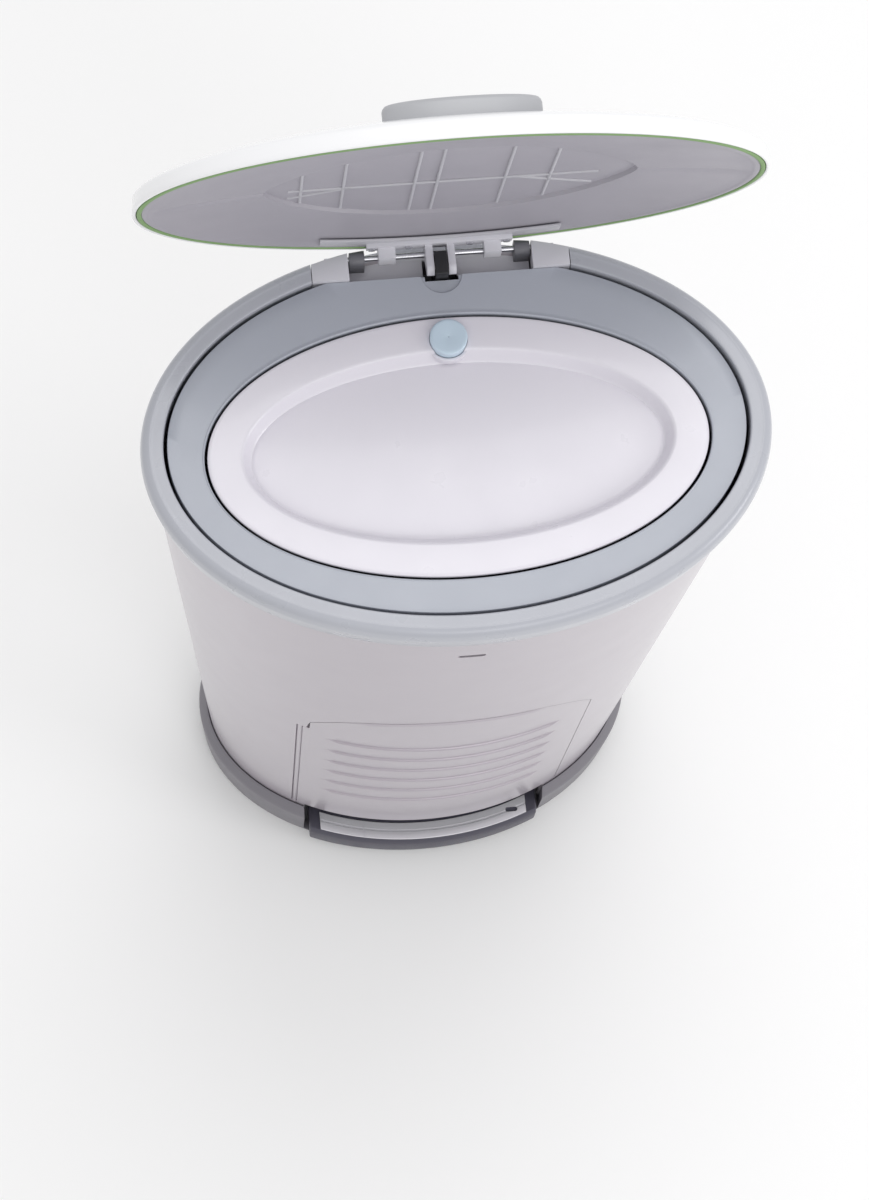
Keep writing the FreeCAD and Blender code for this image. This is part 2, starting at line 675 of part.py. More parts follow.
def door_panel():
    low = DOOR_LOW_Z
    panel = body_block(low, DOOR_TOP_Z + 1).cut(body_block(low - 1, DOOR_TOP_Z + 2, BODY_WALL))
    panel = panel.common(door_outline(0.0))
    axis_x = door_axis()[0].x
    panel = panel.cut(box(-FAR, axis_x, -FAR, 0, 0, FAR * 2))
    panel = panel.cut(box(-FAR, axis_x + DOOR_CORNER_RELIEF, -FAR, 0, DOOR_SIDE_TOP_Z + DOOR_GAP, FAR * 2))
    shoulder = box(-FAR, -DOOR_SHOULDER_X, -FAR, 0, DOOR_SIDE_TOP_Z, FAR * 2)
    panel = panel.cut(shoulder.cut(door_outline(-DOOR_SWING_GAP)))
    panel = panel.fuse(door_bar(DOOR_KNUCKLE_R, low + 0.5, DOOR_SIDE_TOP_Z))
    bore = door_bar(DOOR_PIN_R + RUNNING_CLEARANCE, low - 2, DOOR_SIDE_TOP_Z)
    relief = door_bar(DOOR_PIN_R + DOOR_PIN_RELIEF, DOOR_SIDE_TOP_Z, DOOR_TOP_Z)
    return panel.cut([bore, relief])


def door_catch():
    """Ledge inside the body above the door, for the strike to click over."""
    low = DOOR_TOP_Z + CATCH_CLEAR
    top = low + CATCH_HEIGHT
    ledge = body_block(low, top, BODY_WALL).cut(body_block(low - 1, top + 1, BODY_WALL + CATCH_DEPTH))
    return ledge.common(box(-CATCH_HALF_X, CATCH_HALF_X, -FAR, 0, low, top))


def door_strike():
    low = DOOR_TOP_Z - STRIKE_LOW
    top = DOOR_TOP_Z - STRIKE_FOOT_TOP
    tip = DOOR_TOP_Z + STRIKE_TIP
    half_x = CATCH_HALF_X - STRIKE_TIP
    foot = body_block(low, top, BODY_WALL).cut(body_block(low - 1, top + 1, STRIKE_BACK))
    hook = body_block(low, tip, STRIKE_FACE).cut(body_block(low, tip + 1, STRIKE_BACK))
    strike = foot.fuse(hook).common(box(-half_x, half_x, -FAR, 0, low, tip))
    return strike.removeSplitter()


def bag_cutter():
    """Shrouded blade on the inside of the door."""
    low = CUTTER_LOW_Z
    top = CUTTER_TOP_Z
    block = body_block(low, top, BODY_WALL).cut(body_block(low - 1, top + 1, BODY_WALL + CUTTER_DEPTH))
    block = block.common(box(CUTTER_X0, CUTTER_X1, -FAR, 0, low, top))
    slit = box(CUTTER_SLIT_X0, CUTTER_SLIT_X1, -FAR, 0, low + CUTTER_FLOOR, top + 1)
    return block.cut(slit)


def pedal_lever():
    bar = box(
        -LEVER_HALF_X,
        LEVER_HALF_X,
        LEVER_FRONT_Y,
        LEVER_BACK_Y,
        PEDAL_PIVOT_Z - LEVER_HALF_Z,
        PEDAL_PIVOT_Z + LEVER_HALF_Z,
    )
    hub = bar_x(PEDAL_PIVOT_Y, PEDAL_PIVOT_Z, LEVER_HUB_R, -LEVER_HALF_X, LEVER_HALF_X)
    bore = bar_x(PEDAL_PIVOT_Y, PEDAL_PIVOT_Z, PEDAL_PIN_R + RUNNING_CLEARANCE, -FAR, FAR)
    return bar.fuse(hub).cut(bore).removeSplitter()


def pedal_arc(margin, depth, low, top, half_width):
    """Slice of an oval band that follows the front of the base ring."""
    half_x = FOOT_HALF_X + PEDAL_PROUD - margin
    half_y = FOOT_HALF_Y + PEDAL_PROUD - margin
    band = oval_block(half_x, half_y, low, top, FOOT_SHIFT_Y)
    band = band.cut(oval_block(half_x - depth, half_y - depth, low - 1, top + 1, FOOT_SHIFT_Y))
    return band.common(box(-half_width, half_width, -FAR, 0, low, top))


def pedal_pad():
    pad = pedal_arc(0.0, PEDAL_DEPTH, PEDAL_LOW_Z, PEDAL_TOP_Z, PEDAL_HALF_X)
    pocket = box(
        -LEVER_HALF_X,
        LEVER_HALF_X,
        LEVER_FRONT_Y,
        0,
        PEDAL_PIVOT_Z - LEVER_HALF_Z,
        PEDAL_PIVOT_Z + LEVER_HALF_Z,
    )
    return pad.cut(pocket)


def pedal_plate():
    top = PEDAL_TOP_Z + PEDAL_PLATE_THICK
    plate = pedal_arc(PEDAL_PLATE_MARGIN, PEDAL_PLATE_DEPTH, PEDAL_TOP_Z, top, PEDAL_PLATE_HALF_X)
    slot_y = skin_y(PEDAL_PLATE_HALF_X - 12, BODY_LOW, -RING_STEP)
    slot = Part.makeCylinder(2.5, 10, Vector(PEDAL_PLATE_HALF_X - 12, slot_y + 2, PEDAL_TOP_Z - 1))
    return plate.cut(slot)


def trap_flap():
    low = FLAP_TOP - FLAP_WALL
    plate = oval_block(FLAP_HALF_X, FLAP_HALF_Y, low, FLAP_TOP, FLAP_SHIFT_Y)
    floor = FLAP_TOP - DISH_DEPTH
    bowl = oval_stack(
        [
            (DISH_HALF_X + FLAP_WALL, DISH_HALF_Y + FLAP_WALL, floor - FLAP_WALL),
            (DISH_HALF_X + DISH_SLOPE + FLAP_WALL, DISH_HALF_Y + DISH_SLOPE + FLAP_WALL, FLAP_TOP),
        ],
        FLAP_SHIFT_Y,
    )
    hollow = oval_stack(
        [
            (DISH_HALF_X, DISH_HALF_Y, floor),
            (DISH_HALF_X + DISH_SLOPE, DISH_HALF_Y + DISH_SLOPE, FLAP_TOP),
        ],
        FLAP_SHIFT_Y,
    )
    cup_r = BUTTON_R + GAP + BUTTON_WALL
    cup_low = FLAP_TOP - BUTTON_CUP_DROP
    cup = Part.makeCylinder(cup_r, BUTTON_CUP_DROP, Vector(0, BUTTON_Y, cup_low))
    flap = plate.fuse(bowl).cut(hollow).fuse(cup)
    well_floor = cup_low + BUTTON_CUP_FLOOR
    well = Part.makeCylinder(BUTTON_R + GAP, FAR, Vector(0, BUTTON_Y, well_floor))
    flap = flap.cut(well)
    arm = profile_x(
        [
            (TRAP_PIVOT_Y - 30, low),
            (TRAP_PIVOT_Y - 17, low),
            (TRAP_PIVOT_Y + 4, TRAP_PIVOT_Z + 4),
            (TRAP_PIVOT_Y + 4, TRAP_PIVOT_Z - 5),
            (TRAP_PIVOT_Y - 5, TRAP_PIVOT_Z - 5),
        ],
        TRAP_ARM_X,
        TRAP_ARM_X + TRAP_ARM_THICK,
    )
    lug = box(
        CRANK_LUG_X,
        CRANK_LUG_X + CRANK_LUG_THICK,
        CRANK_Y - CRANK_LUG_HALF,
        CRANK_Y + CRANK_LUG_HALF,
        CRANK_Z,
        cup_low,
    )
    lug = lug.fuse(bar_x(CRANK_Y, CRANK_Z, CRANK_LUG_HALF, CRANK_LUG_X, CRANK_LUG_X + CRANK_LUG_THICK))
    flap = flap.fuse(both_sides(arm) + both_sides(lug))
    pivot = bar_x(TRAP_PIVOT_Y, TRAP_PIVOT_Z, TRAP_PIN_R + RUNNING_CLEARANCE, -FAR, FAR)
    crank = bar_x(CRANK_Y, CRANK_Z, CRANK_PIN_R, -FAR, FAR)
    return flap.cut([pivot, crank]).removeSplitter()


def crank_pin():
    half = CRANK_LUG_X + CRANK_LUG_THICK
    return bar_x(CRANK_Y, CRANK_Z, CRANK_PIN_R, -half, half)


def trap_button():
    low = FLAP_TOP - BUTTON_DEEP
    height = BUTTON_DEEP + BUTTON_PROUD
    cap = Part.makeCylinder(BUTTON_R, height, Vector(0, BUTTON_Y, low))
    hollow = Part.makeCylinder(BUTTON_R - BUTTON_WALL, height - BUTTON_WALL, Vector(0, BUTTON_Y, low))
    return cap.cut(hollow)


def button_spring():
    low = FLAP_TOP - BUTTON_CUP_DROP + BUTTON_CUP_FLOOR
    top = FLAP_TOP + BUTTON_PROUD - BUTTON_WALL
    ring = Part.makeCylinder(SPRING_R, top - low, Vector(0, BUTTON_Y, low))
    return ring.cut(Part.makeCylinder(SPRING_R - SPRING_WIRE, top - low, Vector(0, BUTTON_Y, low)))


def lid_dome(inset, lift=0.0, drop=0.0):
    """Closed dome of the lid, moved in by a wall."""
    sections = []
    for inward, rise in DOME_SECTIONS:
        z = SEAL_Z + max(rise - drop, 0) if rise else SEAL_Z - lift
        sections.append((LID_HALF_X - inward - inset, LID_HALF_Y - inward - inset, z))
    crown = DOME_CROWN + inset
    sections.append((LID_HALF_X - crown, LID_HALF_Y - crown, SEAL_Z + LID_DOME - drop))
    return oval_stack(sections)


def lid_shell():
    shell = lid_dome(0.0).cut(lid_dome(LID_WALL, 1.0, LID_WALL))
    return lid_open(shell)


def lid_seal():
    half_x = LID_HALF_X - LID_WALL - SEAL_INSET
    half_y = LID_HALF_Y - LID_WALL - SEAL_INSET
    top = SEAL_Z + SEAL_HEIGHT
    ring = oval_block(half_x, half_y, SEAL_Z, top)
    ring = ring.cut(oval_block(half_x - SEAL_WIDTH, half_y - SEAL_WIDTH, SEAL_Z - 1, top + 1))
    return lid_open(ring)


def liner_half():
    """Half sizes of the lid's liner, just inside the seal."""
    inset = LID_WALL + SEAL_INSET + SEAL_WIDTH + 0.1
    return LID_HALF_X - inset, LID_HALF_Y - inset


def lid_liner():
    half_x, half_y = liner_half()
    low = SEAL_Z + 1.0
    ceiling = low + LINER_RISE
    flange = oval_block(half_x, half_y, low, low + LINER_THICK)
    mouth_x = half_x - LINER_FLANGE
    mouth_y = half_y - LINER_FLANGE
    inner = LINER_THICK
    bowl = oval_stack(
        [
            (mouth_x + inner, mouth_y + inner, low),
            (LINER_RECESS_HALF_X + inner, LINER_RECESS_HALF_Y + inner, ceiling + LINER_THICK),
        ]
    )
    hollow = oval_stack(
        [
            (mouth_x, mouth_y, low - 0.01),
            (LINER_RECESS_HALF_X, LINER_RECESS_HALF_Y, ceiling),
        ]
    )
    liner = flange.fuse(bowl).cut(hollow)
    half_rib = RIB_THICK / 2
    rib_low = ceiling - RIB_DEPTH
    ribs = [box(-LINER_RECESS_HALF_X, LINER_RECESS_HALF_X, -half_rib, half_rib, rib_low, ceiling)]
    for step in range(-RIBS_PER_SIDE, RIBS_PER_SIDE + 1):
        x = step * RIB_PITCH
        reach = LINER_RECESS_HALF_Y * math.sqrt(1.0 - (x / LINER_RECESS_HALF_X) ** 2)
        ribs.append(box(x - half_rib, x + half_rib, -reach, reach, rib_low, ceiling))
    inside = lid_dome(LID_WALL + GAP, 1.0, LID_WALL + GAP)
    return lid_open(liner.fuse(ribs).common(inside).removeSplitter())


def lid_handle():
    """Finger grip that stands on the dome near the lid's front edge."""
    top = SEAL_Z + LID_SKIRT + 11 + HANDLE_RISE
    grip = oval_stack(
        [
            (HANDLE_HALF_X, HANDLE_HALF_Y, SEAL_Z + LID_SKIRT),
            (HANDLE_HALF_X, HANDLE_HALF_Y, top - 4),
            (HANDLE_HALF_X - 4, HANDLE_HALF_Y - 4, top),
        ],
        HANDLE_Y,
    )
    return lid_open(grip.cut(lid_dome(0.0)))


def lug_outline(x0, x1):
    """Plate that joins the leaf, the hinge rod and the link pin, in the open place."""
    radius = LUG_R
    hub = bar_x(HINGE_Y, HINGE_Z, radius, x0, x1)
    tip = bar_x(LINK_Y, LINK_Z, radius, x0, x1)
    web = profile_x(
        [
            (LINK_Y, LINK_Z - radius),
            (HINGE_Y, HINGE_Z - radius),
            (HINGE_Y + radius, HINGE_Z),
            (HINGE_Y + radius, HINGE_Z + 10),
            (HINGE_Y, HINGE_Z + 10),
            (LINK_Y, LINK_Z + radius),
        ],
        x0,
        x1,
    )
    return hub.fuse([tip, web])


def hinge_leaf():
    """Leaf under the lid with two hooks and two lugs round the hinge rod."""
    leaf = box(-LEAF_HALF_X, LEAF_HALF_X, LEAF_Y0, LEAF_Y1, SEAL_Z + 1 - LEAF_DEPTH, SEAL_Z + 1)
    half_x, half_y = liner_half()
    leaf = leaf.common(oval_block(half_x, half_y, 0, FAR * 2))
    leaf = lid_open(leaf)
    tab = bar_x(HINGE_Y, HINGE_Z, LUG_R, TAB_X0, TAB_X1)
    tab = tab.fuse(box(TAB_X0, TAB_X1, HINGE_Y - LUG_R, HINGE_Y + LUG_R, HINGE_Z, HINGE_Z + 10))
    pieces = both_sides(tab) + both_sides(lug_outline(LUG_X0, LUG_X1))
    leaf = leaf.fuse(pieces)
    rod = bar_x(HINGE_Y, HINGE_Z, HINGE_ROD_R + RUNNING_CLEARANCE, -FAR, FAR)
    link = bar_x(LINK_Y, LINK_Z, LINK_PIN_R, -FAR, FAR)
    slack = box(-LUG_X0, LUG_X0, 0, HINGE_Y + LUG_R / 2, 0, HINGE_Z + LUG_R)
    return leaf.cut([rod, link, slack, lid_open(lid_room())]).removeSplitter()


def lid_room():
    """Space above the leaf that the lid's liner and seal fill, in the closed place."""
    return box(-FAR, FAR, 0, FAR, SEAL_Z + 1, SEAL_Z + LID_DOME * 2)


def link_pin():
    return bar_x(LINK_Y, LINK_Z, LINK_PIN_R, -LUG_X1, LUG_X1)


def lid_screws():
    """Four screw heads on the leaf."""
    screws = []
    for x in (-SCREW_OUTER_X, -SCREW_INNER_X, SCREW_INNER_X, SCREW_OUTER_X):
        place = Vector(x, LEAF_Y0 + SCREW_EDGE, SEAL_Z + 1 - LEAF_DEPTH - SCREW_HEAD)
        screws.append(lid_open(Part.makeCylinder(SCREW_HEAD_R, SCREW_HEAD, place)))
    return Part.makeCompound(screws)


def push_rod():
    eye_low = LINK_Z - EYE_HALF_Z
    eye_top = LINK_Z + EYE_HALF_Z
    eye = box(-ROD_HALF_X, ROD_HALF_X, EYE_Y - EYE_HALF_Y, EYE_Y + EYE_HALF_Y, eye_low, eye_top)
    foot_z = PEDAL_PIVOT_Z + LEVER_HALF_Z + GAP + ROD_HALF_Y
    front = [(y, max(z, foot_z)) for y, z in rod_line(0.0)]
    back = [(y + 2 * ROD_HALF_Y, z) for y, z in front]
    front[-1] = (front[-1][0], LINK_Z)
    back[-1] = (back[-1][0], LINK_Z)
    shaft = profile_x(front + back[::-1], -ROD_HALF_X, ROD_HALF_X)
    foot = bar_x(ROD_LOW_Y, foot_z, ROD_HALF_Y, -ROD_HALF_X, ROD_HALF_X)
    slot_front = EYE_Y - EYE_SLOT_HALF_Y
    slot_back = EYE_Y + EYE_SLOT_HALF_Y
    slot = box(-FAR, FAR, slot_front, slot_back, LINK_Z - EYE_SLOT_HALF_Z, LINK_Z + EYE_SLOT_HALF_Z)
    return shaft.fuse([eye, foot]).cut(slot).removeSplitter()


def rod_arm():
    """Arm from the push rod to the flap's crank pin."""
    sweep = CRANK_R * (1.0 - math.cos(math.radians(TRAP_TURN_DEG / 2)))
    slot_r = CRANK_PIN_R + ARM_SLOT_PLAY
    eye = slot_x(CRANK_Y - sweep / 2, CRANK_Z, sweep / 2, slot_r + ARM_WALL, -ARM_HALF_X, ARM_HALF_X)
    height = slot_r + ARM_WALL
    bar = box(-ARM_HALF_X, ARM_HALF_X, CRANK_Y, EYE_Y - ROD_HALF_Y, CRANK_Z - height, CRANK_Z + height)
    slot = slot_x(CRANK_Y - sweep / 2, CRANK_Z, sweep / 2, slot_r, -FAR, FAR)
    return eye.fuse(bar).cut(slot).removeSplitter()


PIECES = {
    "body_shell": body_shell,
    "base_ring": base_ring,
    "floor_pan": floor_pan,
    "base_pad": base_pad,
    "inner_floor": inner_floor,
    "rim_collar": rim_collar,
    "deck_plate": deck_plate,
    "hinge_tray": hinge_tray,
    "hinge_ears": hinge_ears,
    "hinge_block_left": lambda: hinge_block(1),
    "hinge_block_right": lambda: hinge_block(0),
    "hinge_rod": hinge_rod,
    "trap_pin_left": lambda: trap_pin(1),
    "trap_pin_right": lambda: trap_pin(0),
    "rod_duct": rod_duct,
    "rod_guide": rod_guide,
    "cassette_shelf": cassette_shelf,
    "bag_cassette": bag_cassette,
    "pedal_pin": pedal_pin,
    "slot_insert": slot_insert,
    "door_pin": door_pin,
    "door_catch": door_catch,
    "lid_shell": lid_shell,
    "lid_liner": lid_liner,
    "lid_seal": lid_seal,
    "lid_handle": lid_handle,
    "hinge_leaf": hinge_leaf,
    "link_pin": link_pin,
    "lid_screws": lid_screws,
    "trap_flap": trap_flap,
    "crank_pin": crank_pin,
    "trap_button": trap_button,
    "button_spring": button_spring,
    "push_rod": push_rod,
    "rod_arm": rod_arm,
    "pedal_lever": pedal_lever,
    "pedal_pad": pedal_pad,
    "pedal_plate": pedal_plate,
    "door_panel": door_panel,
    "door_strike": door_strike,
    "bag_cutter": bag_cutter,
}

os.makedirs("parts", exist_ok=True)
for name, make in PIECES.items():
    shape = make()
    shape.exportStep("parts/" + name + ".step")
    volume = shape.Volume / 1000
    print(f"{name:18} solids {len(shape.Solids)} valid {shape.isValid()} volume {volume:8.1f} cm3")
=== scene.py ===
# %% [markdown]
# # An oval pedal bin, dressed for a close look
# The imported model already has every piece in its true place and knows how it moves. This lesson gives
# the pieces their finished surfaces: smooth shells swept round an oval, softened mouldings, small
# Geometry Nodes trees for what repeats, and procedural materials.

# %% Load the frame
import json
import math

import bmesh
import bpy
from mathutils import Matrix, Vector

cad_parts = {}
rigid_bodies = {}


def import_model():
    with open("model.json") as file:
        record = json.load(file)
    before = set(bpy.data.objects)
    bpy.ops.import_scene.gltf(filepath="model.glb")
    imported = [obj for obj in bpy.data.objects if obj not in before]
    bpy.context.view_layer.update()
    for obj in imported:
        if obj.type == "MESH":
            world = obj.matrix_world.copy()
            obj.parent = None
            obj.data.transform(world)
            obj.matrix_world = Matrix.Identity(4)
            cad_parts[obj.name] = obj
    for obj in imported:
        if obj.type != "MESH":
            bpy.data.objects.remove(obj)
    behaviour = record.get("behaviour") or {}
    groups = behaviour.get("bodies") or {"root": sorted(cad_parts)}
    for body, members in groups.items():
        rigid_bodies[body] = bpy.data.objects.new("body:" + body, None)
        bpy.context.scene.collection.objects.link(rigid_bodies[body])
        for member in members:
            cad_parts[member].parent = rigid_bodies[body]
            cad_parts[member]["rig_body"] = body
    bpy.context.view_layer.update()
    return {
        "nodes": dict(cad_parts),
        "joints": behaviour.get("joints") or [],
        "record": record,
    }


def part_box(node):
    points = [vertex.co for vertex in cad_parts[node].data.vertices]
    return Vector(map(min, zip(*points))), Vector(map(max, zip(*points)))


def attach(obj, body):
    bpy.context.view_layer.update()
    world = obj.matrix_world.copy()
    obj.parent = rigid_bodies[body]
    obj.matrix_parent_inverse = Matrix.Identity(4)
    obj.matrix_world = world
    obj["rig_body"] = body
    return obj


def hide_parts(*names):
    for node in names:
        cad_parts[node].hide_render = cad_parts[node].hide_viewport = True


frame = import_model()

# %% [markdown]
# ## Sizes
# Everything is worked in millimetres and made in metres at the end. The main sizes come from the
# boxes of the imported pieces, so the visual shells can't drift away from the real ones.

# %% Driving sizes
MM = 0.001
SIDES = 224


def reach(node):
    """Lowest and highest corner of a node, in millimetres."""
    low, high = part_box(node)
    return low / MM, high / MM


rim_low, rim_high = reach("rim_collar")
RIM_X, RIM_Y, RIM_Z = rim_high.x, -rim_low.y, rim_high.z
body_low, body_high = reach("body_shell")
pan_low, pan_high = reach("floor_pan")
FOOT_X = pan_high.x
FOOT_Y = (pan_high.y - pan_low.y) / 2
FOOT_SHIFT = (pan_high.y + pan_low.y) / 2
FOOT_Z = 5.0
BODY_TOP = body_high.z
TOP_X = body_high.x
TOP_Y = -body_low.y
WALL = 2.5
joints = {joint["name"]: joint for joint in frame["joints"]}
print("rim", RIM_X, RIM_Y, RIM_Z, "foot", FOOT_X, FOOT_Y, FOOT_SHIFT)


def body_half(z, inset=0.0):
    """Half sizes and shift of the tapering body at height z."""
    share = (z - FOOT_Z) / (BODY_TOP - FOOT_Z)
    half_x = FOOT_X + (TOP_X - FOOT_X) * share - inset
    half_y = FOOT_Y + (TOP_Y - FOOT_Y) * share - inset
    return half_x, half_y, FOOT_SHIFT * (1.0 - share)


def skin_y(x, z, out=0.0):
    """Front surface of the body at x and z, moved out by a small amount."""
    half_x, half_y, shift = body_half(z, -out)
    return shift - half_y * math.sqrt(max(0.0, 1.0 - (x / half_x) ** 2))


# %% [markdown]
# ## Helpers for shells
# A pedal bin is mostly ovals. A profile is drawn once as distances in from an oval and heights, its
# corners are rounded, and it is swept round the oval as rings of points joined by quads.

# %% Rings, profiles and meshes
def oval_ring(half_x, half_y, z, shift=0.0):
    """One ring of points round an oval."""
    turns = [2 * math.pi * i / SIDES for i in range(SIDES)]
    return [(half_x * math.cos(t), shift + half_y * math.sin(t), z) for t in turns]


def rounded(points, radius=1.0, steps=4, loop=True):
    """The outline with its corners rounded."""
    count = len(points)
    result = []
    for i, corner in enumerate(points):
        if not loop and i in (0, count - 1):
            result.append(corner)
            continue
        here = Vector(corner)
        before = Vector(points[i - 1])
        after = Vector(points[(i + 1) % count])
        start = here + (before - here).normalized() * min(radius, (before - here).length * 0.45)
        end = here + (after - here).normalized() * min(radius, (after - here).length * 0.45)
        for k in range(steps + 1):
            t = k / steps
            spot = start * (1 - t) ** 2 + here * 2 * t * (1 - t) + end * t ** 2
            result.append(tuple(spot))
    return result


def smooth(mesh, degrees=35.0):
    mesh.shade_smooth()
    mesh.set_sharp_from_angle(angle=math.radians(degrees))


def new_object(name, mesh):
    obj = bpy.data.objects.new(name, mesh)
    bpy.context.scene.collection.objects.link(obj)
    return obj


def from_points(name, points, faces, degrees=35.0):
    """Mesh object from millimetre points, welded, facing outwards."""
    mesh = bpy.data.meshes.new(name)
    mesh.from_pydata([(x * MM, y * MM, z * MM) for x, y, z in points], [], faces)
    work = bmesh.new()
    work.from_mesh(mesh)
    bmesh.ops.remove_doubles(work, verts=work.verts, dist=0.002 * MM)
    bmesh.ops.recalc_face_normals(work, faces=work.faces)
    work.to_mesh(mesh)
    work.free()
    smooth(mesh, degrees)
    return new_object(name, mesh)


def from_rings(name, rings, loop=False, caps=(False, False), degrees=35.0):
    """Skin of quads through rings of equal length; a cap closes an end with a pole."""
    count = len(rings[0])
    points = [p for ring in rings for p in ring]
    faces = []
    spans = len(rings) if loop else len(rings) - 1
    for r in range(spans):
        a = r * count
        b = ((r + 1) % len(rings)) * count
        for i in range(count):
            j = (i + 1) % count
            faces.append((a + i, a + j, b + j, b + i))
    for wanted, index in zip(caps, (0, len(rings) - 1)):
        if wanted:
            ring = rings[index]
            middle = [sum(p[k] for p in ring) / count for k in range(3)]
            points.append(tuple(middle))
            pole = len(points) - 1
            base = index * count
            faces += [(base + i, base + (i + 1) % count, pole) for i in range(count)]
    return from_points(name, points, faces, degrees)


def oval_sweep(name, half_x, half_y, profile, shift=0.0):
    """Closed profile of (inset, height) points, swept round an oval."""
    rings = [oval_ring(half_x - d, half_y - d, z, shift) for d, z in profile]
    return from_rings(name, rings, loop=True)


def settle(obj):
    """Turn an object's modifiers into plain mesh."""
    graph = bpy.context.evaluated_depsgraph_get()
    mesh = bpy.data.meshes.new_from_object(obj.evaluated_get(graph))
    obj.modifiers.clear()
    obj.data = mesh
    return obj


def block(x0, x1, y0, y1, z0, z1, name="cutter"):
    """Plain box, used to cut openings."""
    points = [(x, y, z) for x in (x0, x1) for y in (y0, y1) for z in (z0, z1)]
    faces = [(0, 1, 3, 2), (4, 6, 7, 5), (0, 4, 5, 1), (2, 3, 7, 6), (0, 2, 6, 4), (1, 5, 7, 3)]
    return from_points(name, points, faces)


def drum(x, y, radius, z0, z1, name="cutter"):
    """Upright round bar."""
    turns = [2 * math.pi * i / 64 for i in range(64)]
    rings = [[(x + radius * math.cos(t), y + radius * math.sin(t), z) for t in turns] for z in (z0, z1)]
    return from_rings(name, rings, caps=(True, True))


def carve(obj, *cutters):
    """Cut the cutters out of an object and throw them away."""
    for cutter in cutters:
        step = obj.modifiers.new("carve", "BOOLEAN")
        step.operation = "DIFFERENCE"
        step.solver = "EXACT"
        step.object = cutter
    settle(obj)
    for cutter in cutters:
        bpy.data.objects.remove(cutter)
    smooth(obj.data)
    return obj


def soften(obj, width, segments=2, degrees=35.0):
    """Round off the sharp edges, as a mould does."""
    step = obj.modifiers.new("soften", "BEVEL")
    step.width = width * MM
    step.segments = segments
    step.limit_method = "ANGLE"
    step.angle_limit = math.radians(degrees)
    step.use_clamp_overlap = True
    settle(obj)
    smooth(obj.data)
    return obj


# %% [markdown]
# ## Materials
# Plastic that looks perfectly even looks fake. Every finish here shares one node group that clouds
# the colour a little, varies the roughness and gives a fine grain. The Principled shader and all of
# its even values stay in the material itself.

# %% The shared surface group
def surface_group():
    tree = bpy.data.node_groups.new("surface_life", "ShaderNodeTree")
    face = tree.interface
    face.new_socket("Vector", in_out="INPUT", socket_type="NodeSocketVector")
    face.new_socket("Light Tone", in_out="INPUT", socket_type="NodeSocketColor")
    face.new_socket("Dark Tone", in_out="INPUT", socket_type="NodeSocketColor")
    for name in ("Cloud Scale", "Grain Scale", "Low Roughness", "High Roughness"):
        face.new_socket(name, in_out="INPUT", socket_type="NodeSocketFloat")
    face.new_socket("Colour", in_out="OUTPUT", socket_type="NodeSocketColor")
    face.new_socket("Roughness", in_out="OUTPUT", socket_type="NodeSocketFloat")
    face.new_socket("Height", in_out="OUTPUT", socket_type="NodeSocketFloat")
    nodes, links = tree.nodes, tree.links
    source = nodes.new("NodeGroupInput")
    result = nodes.new("NodeGroupOutput")
    cloud = nodes.new("ShaderNodeTexNoise")
    cloud.inputs["Detail"].default_value = 4.0
    grain = nodes.new("ShaderNodeTexNoise")
    grain.inputs["Detail"].default_value = 2.0
    smear = nodes.new("ShaderNodeTexNoise")
    smear.inputs["Scale"].default_value = 37.0
    smear.inputs["Detail"].default_value = 5.0
    tone = nodes.new("ShaderNodeMix")
    tone.data_type = "RGBA"
    dull = nodes.new("ShaderNodeMapRange")
    dull.inputs["From Min"].default_value = 0.3
    dull.inputs["From Max"].default_value = 0.7
    for noise in (cloud, grain, smear):
        links.new(source.outputs["Vector"], noise.inputs["Vector"])
    links.new(source.outputs["Cloud Scale"], cloud.inputs["Scale"])
    links.new(source.outputs["Grain Scale"], grain.inputs["Scale"])
    links.new(cloud.outputs["Fac"], tone.inputs["Factor"])
    links.new(source.outputs["Light Tone"], tone.inputs["A"])
    links.new(source.outputs["Dark Tone"], tone.inputs["B"])
    links.new(smear.outputs["Fac"], dull.inputs["Value"])
    links.new(source.outputs["Low Roughness"], dull.inputs["To Min"])
    links.new(source.outputs["High Roughness"], dull.inputs["To Max"])
    links.new(tone.outputs["Result"], result.inputs["Colour"])
    links.new(dull.outputs["Result"], result.inputs["Roughness"])
    links.new(grain.outputs["Fac"], result.inputs["Height"])
    return tree


SURFACE = surface_group()


def linear(value):
    value /= 255.0
    return value / 12.92 if value <= 0.04045 else ((value + 0.055) / 1.055) ** 2.4


def tint(red, green, blue, share=1.0):
    """Colour from everyday 0 to 255 values, made lighter or darker by a share."""
    return tuple(min(1.0, linear(v) * share) for v in (red, green, blue)) + (1.0,)


EVEN = (1, 1, 1)


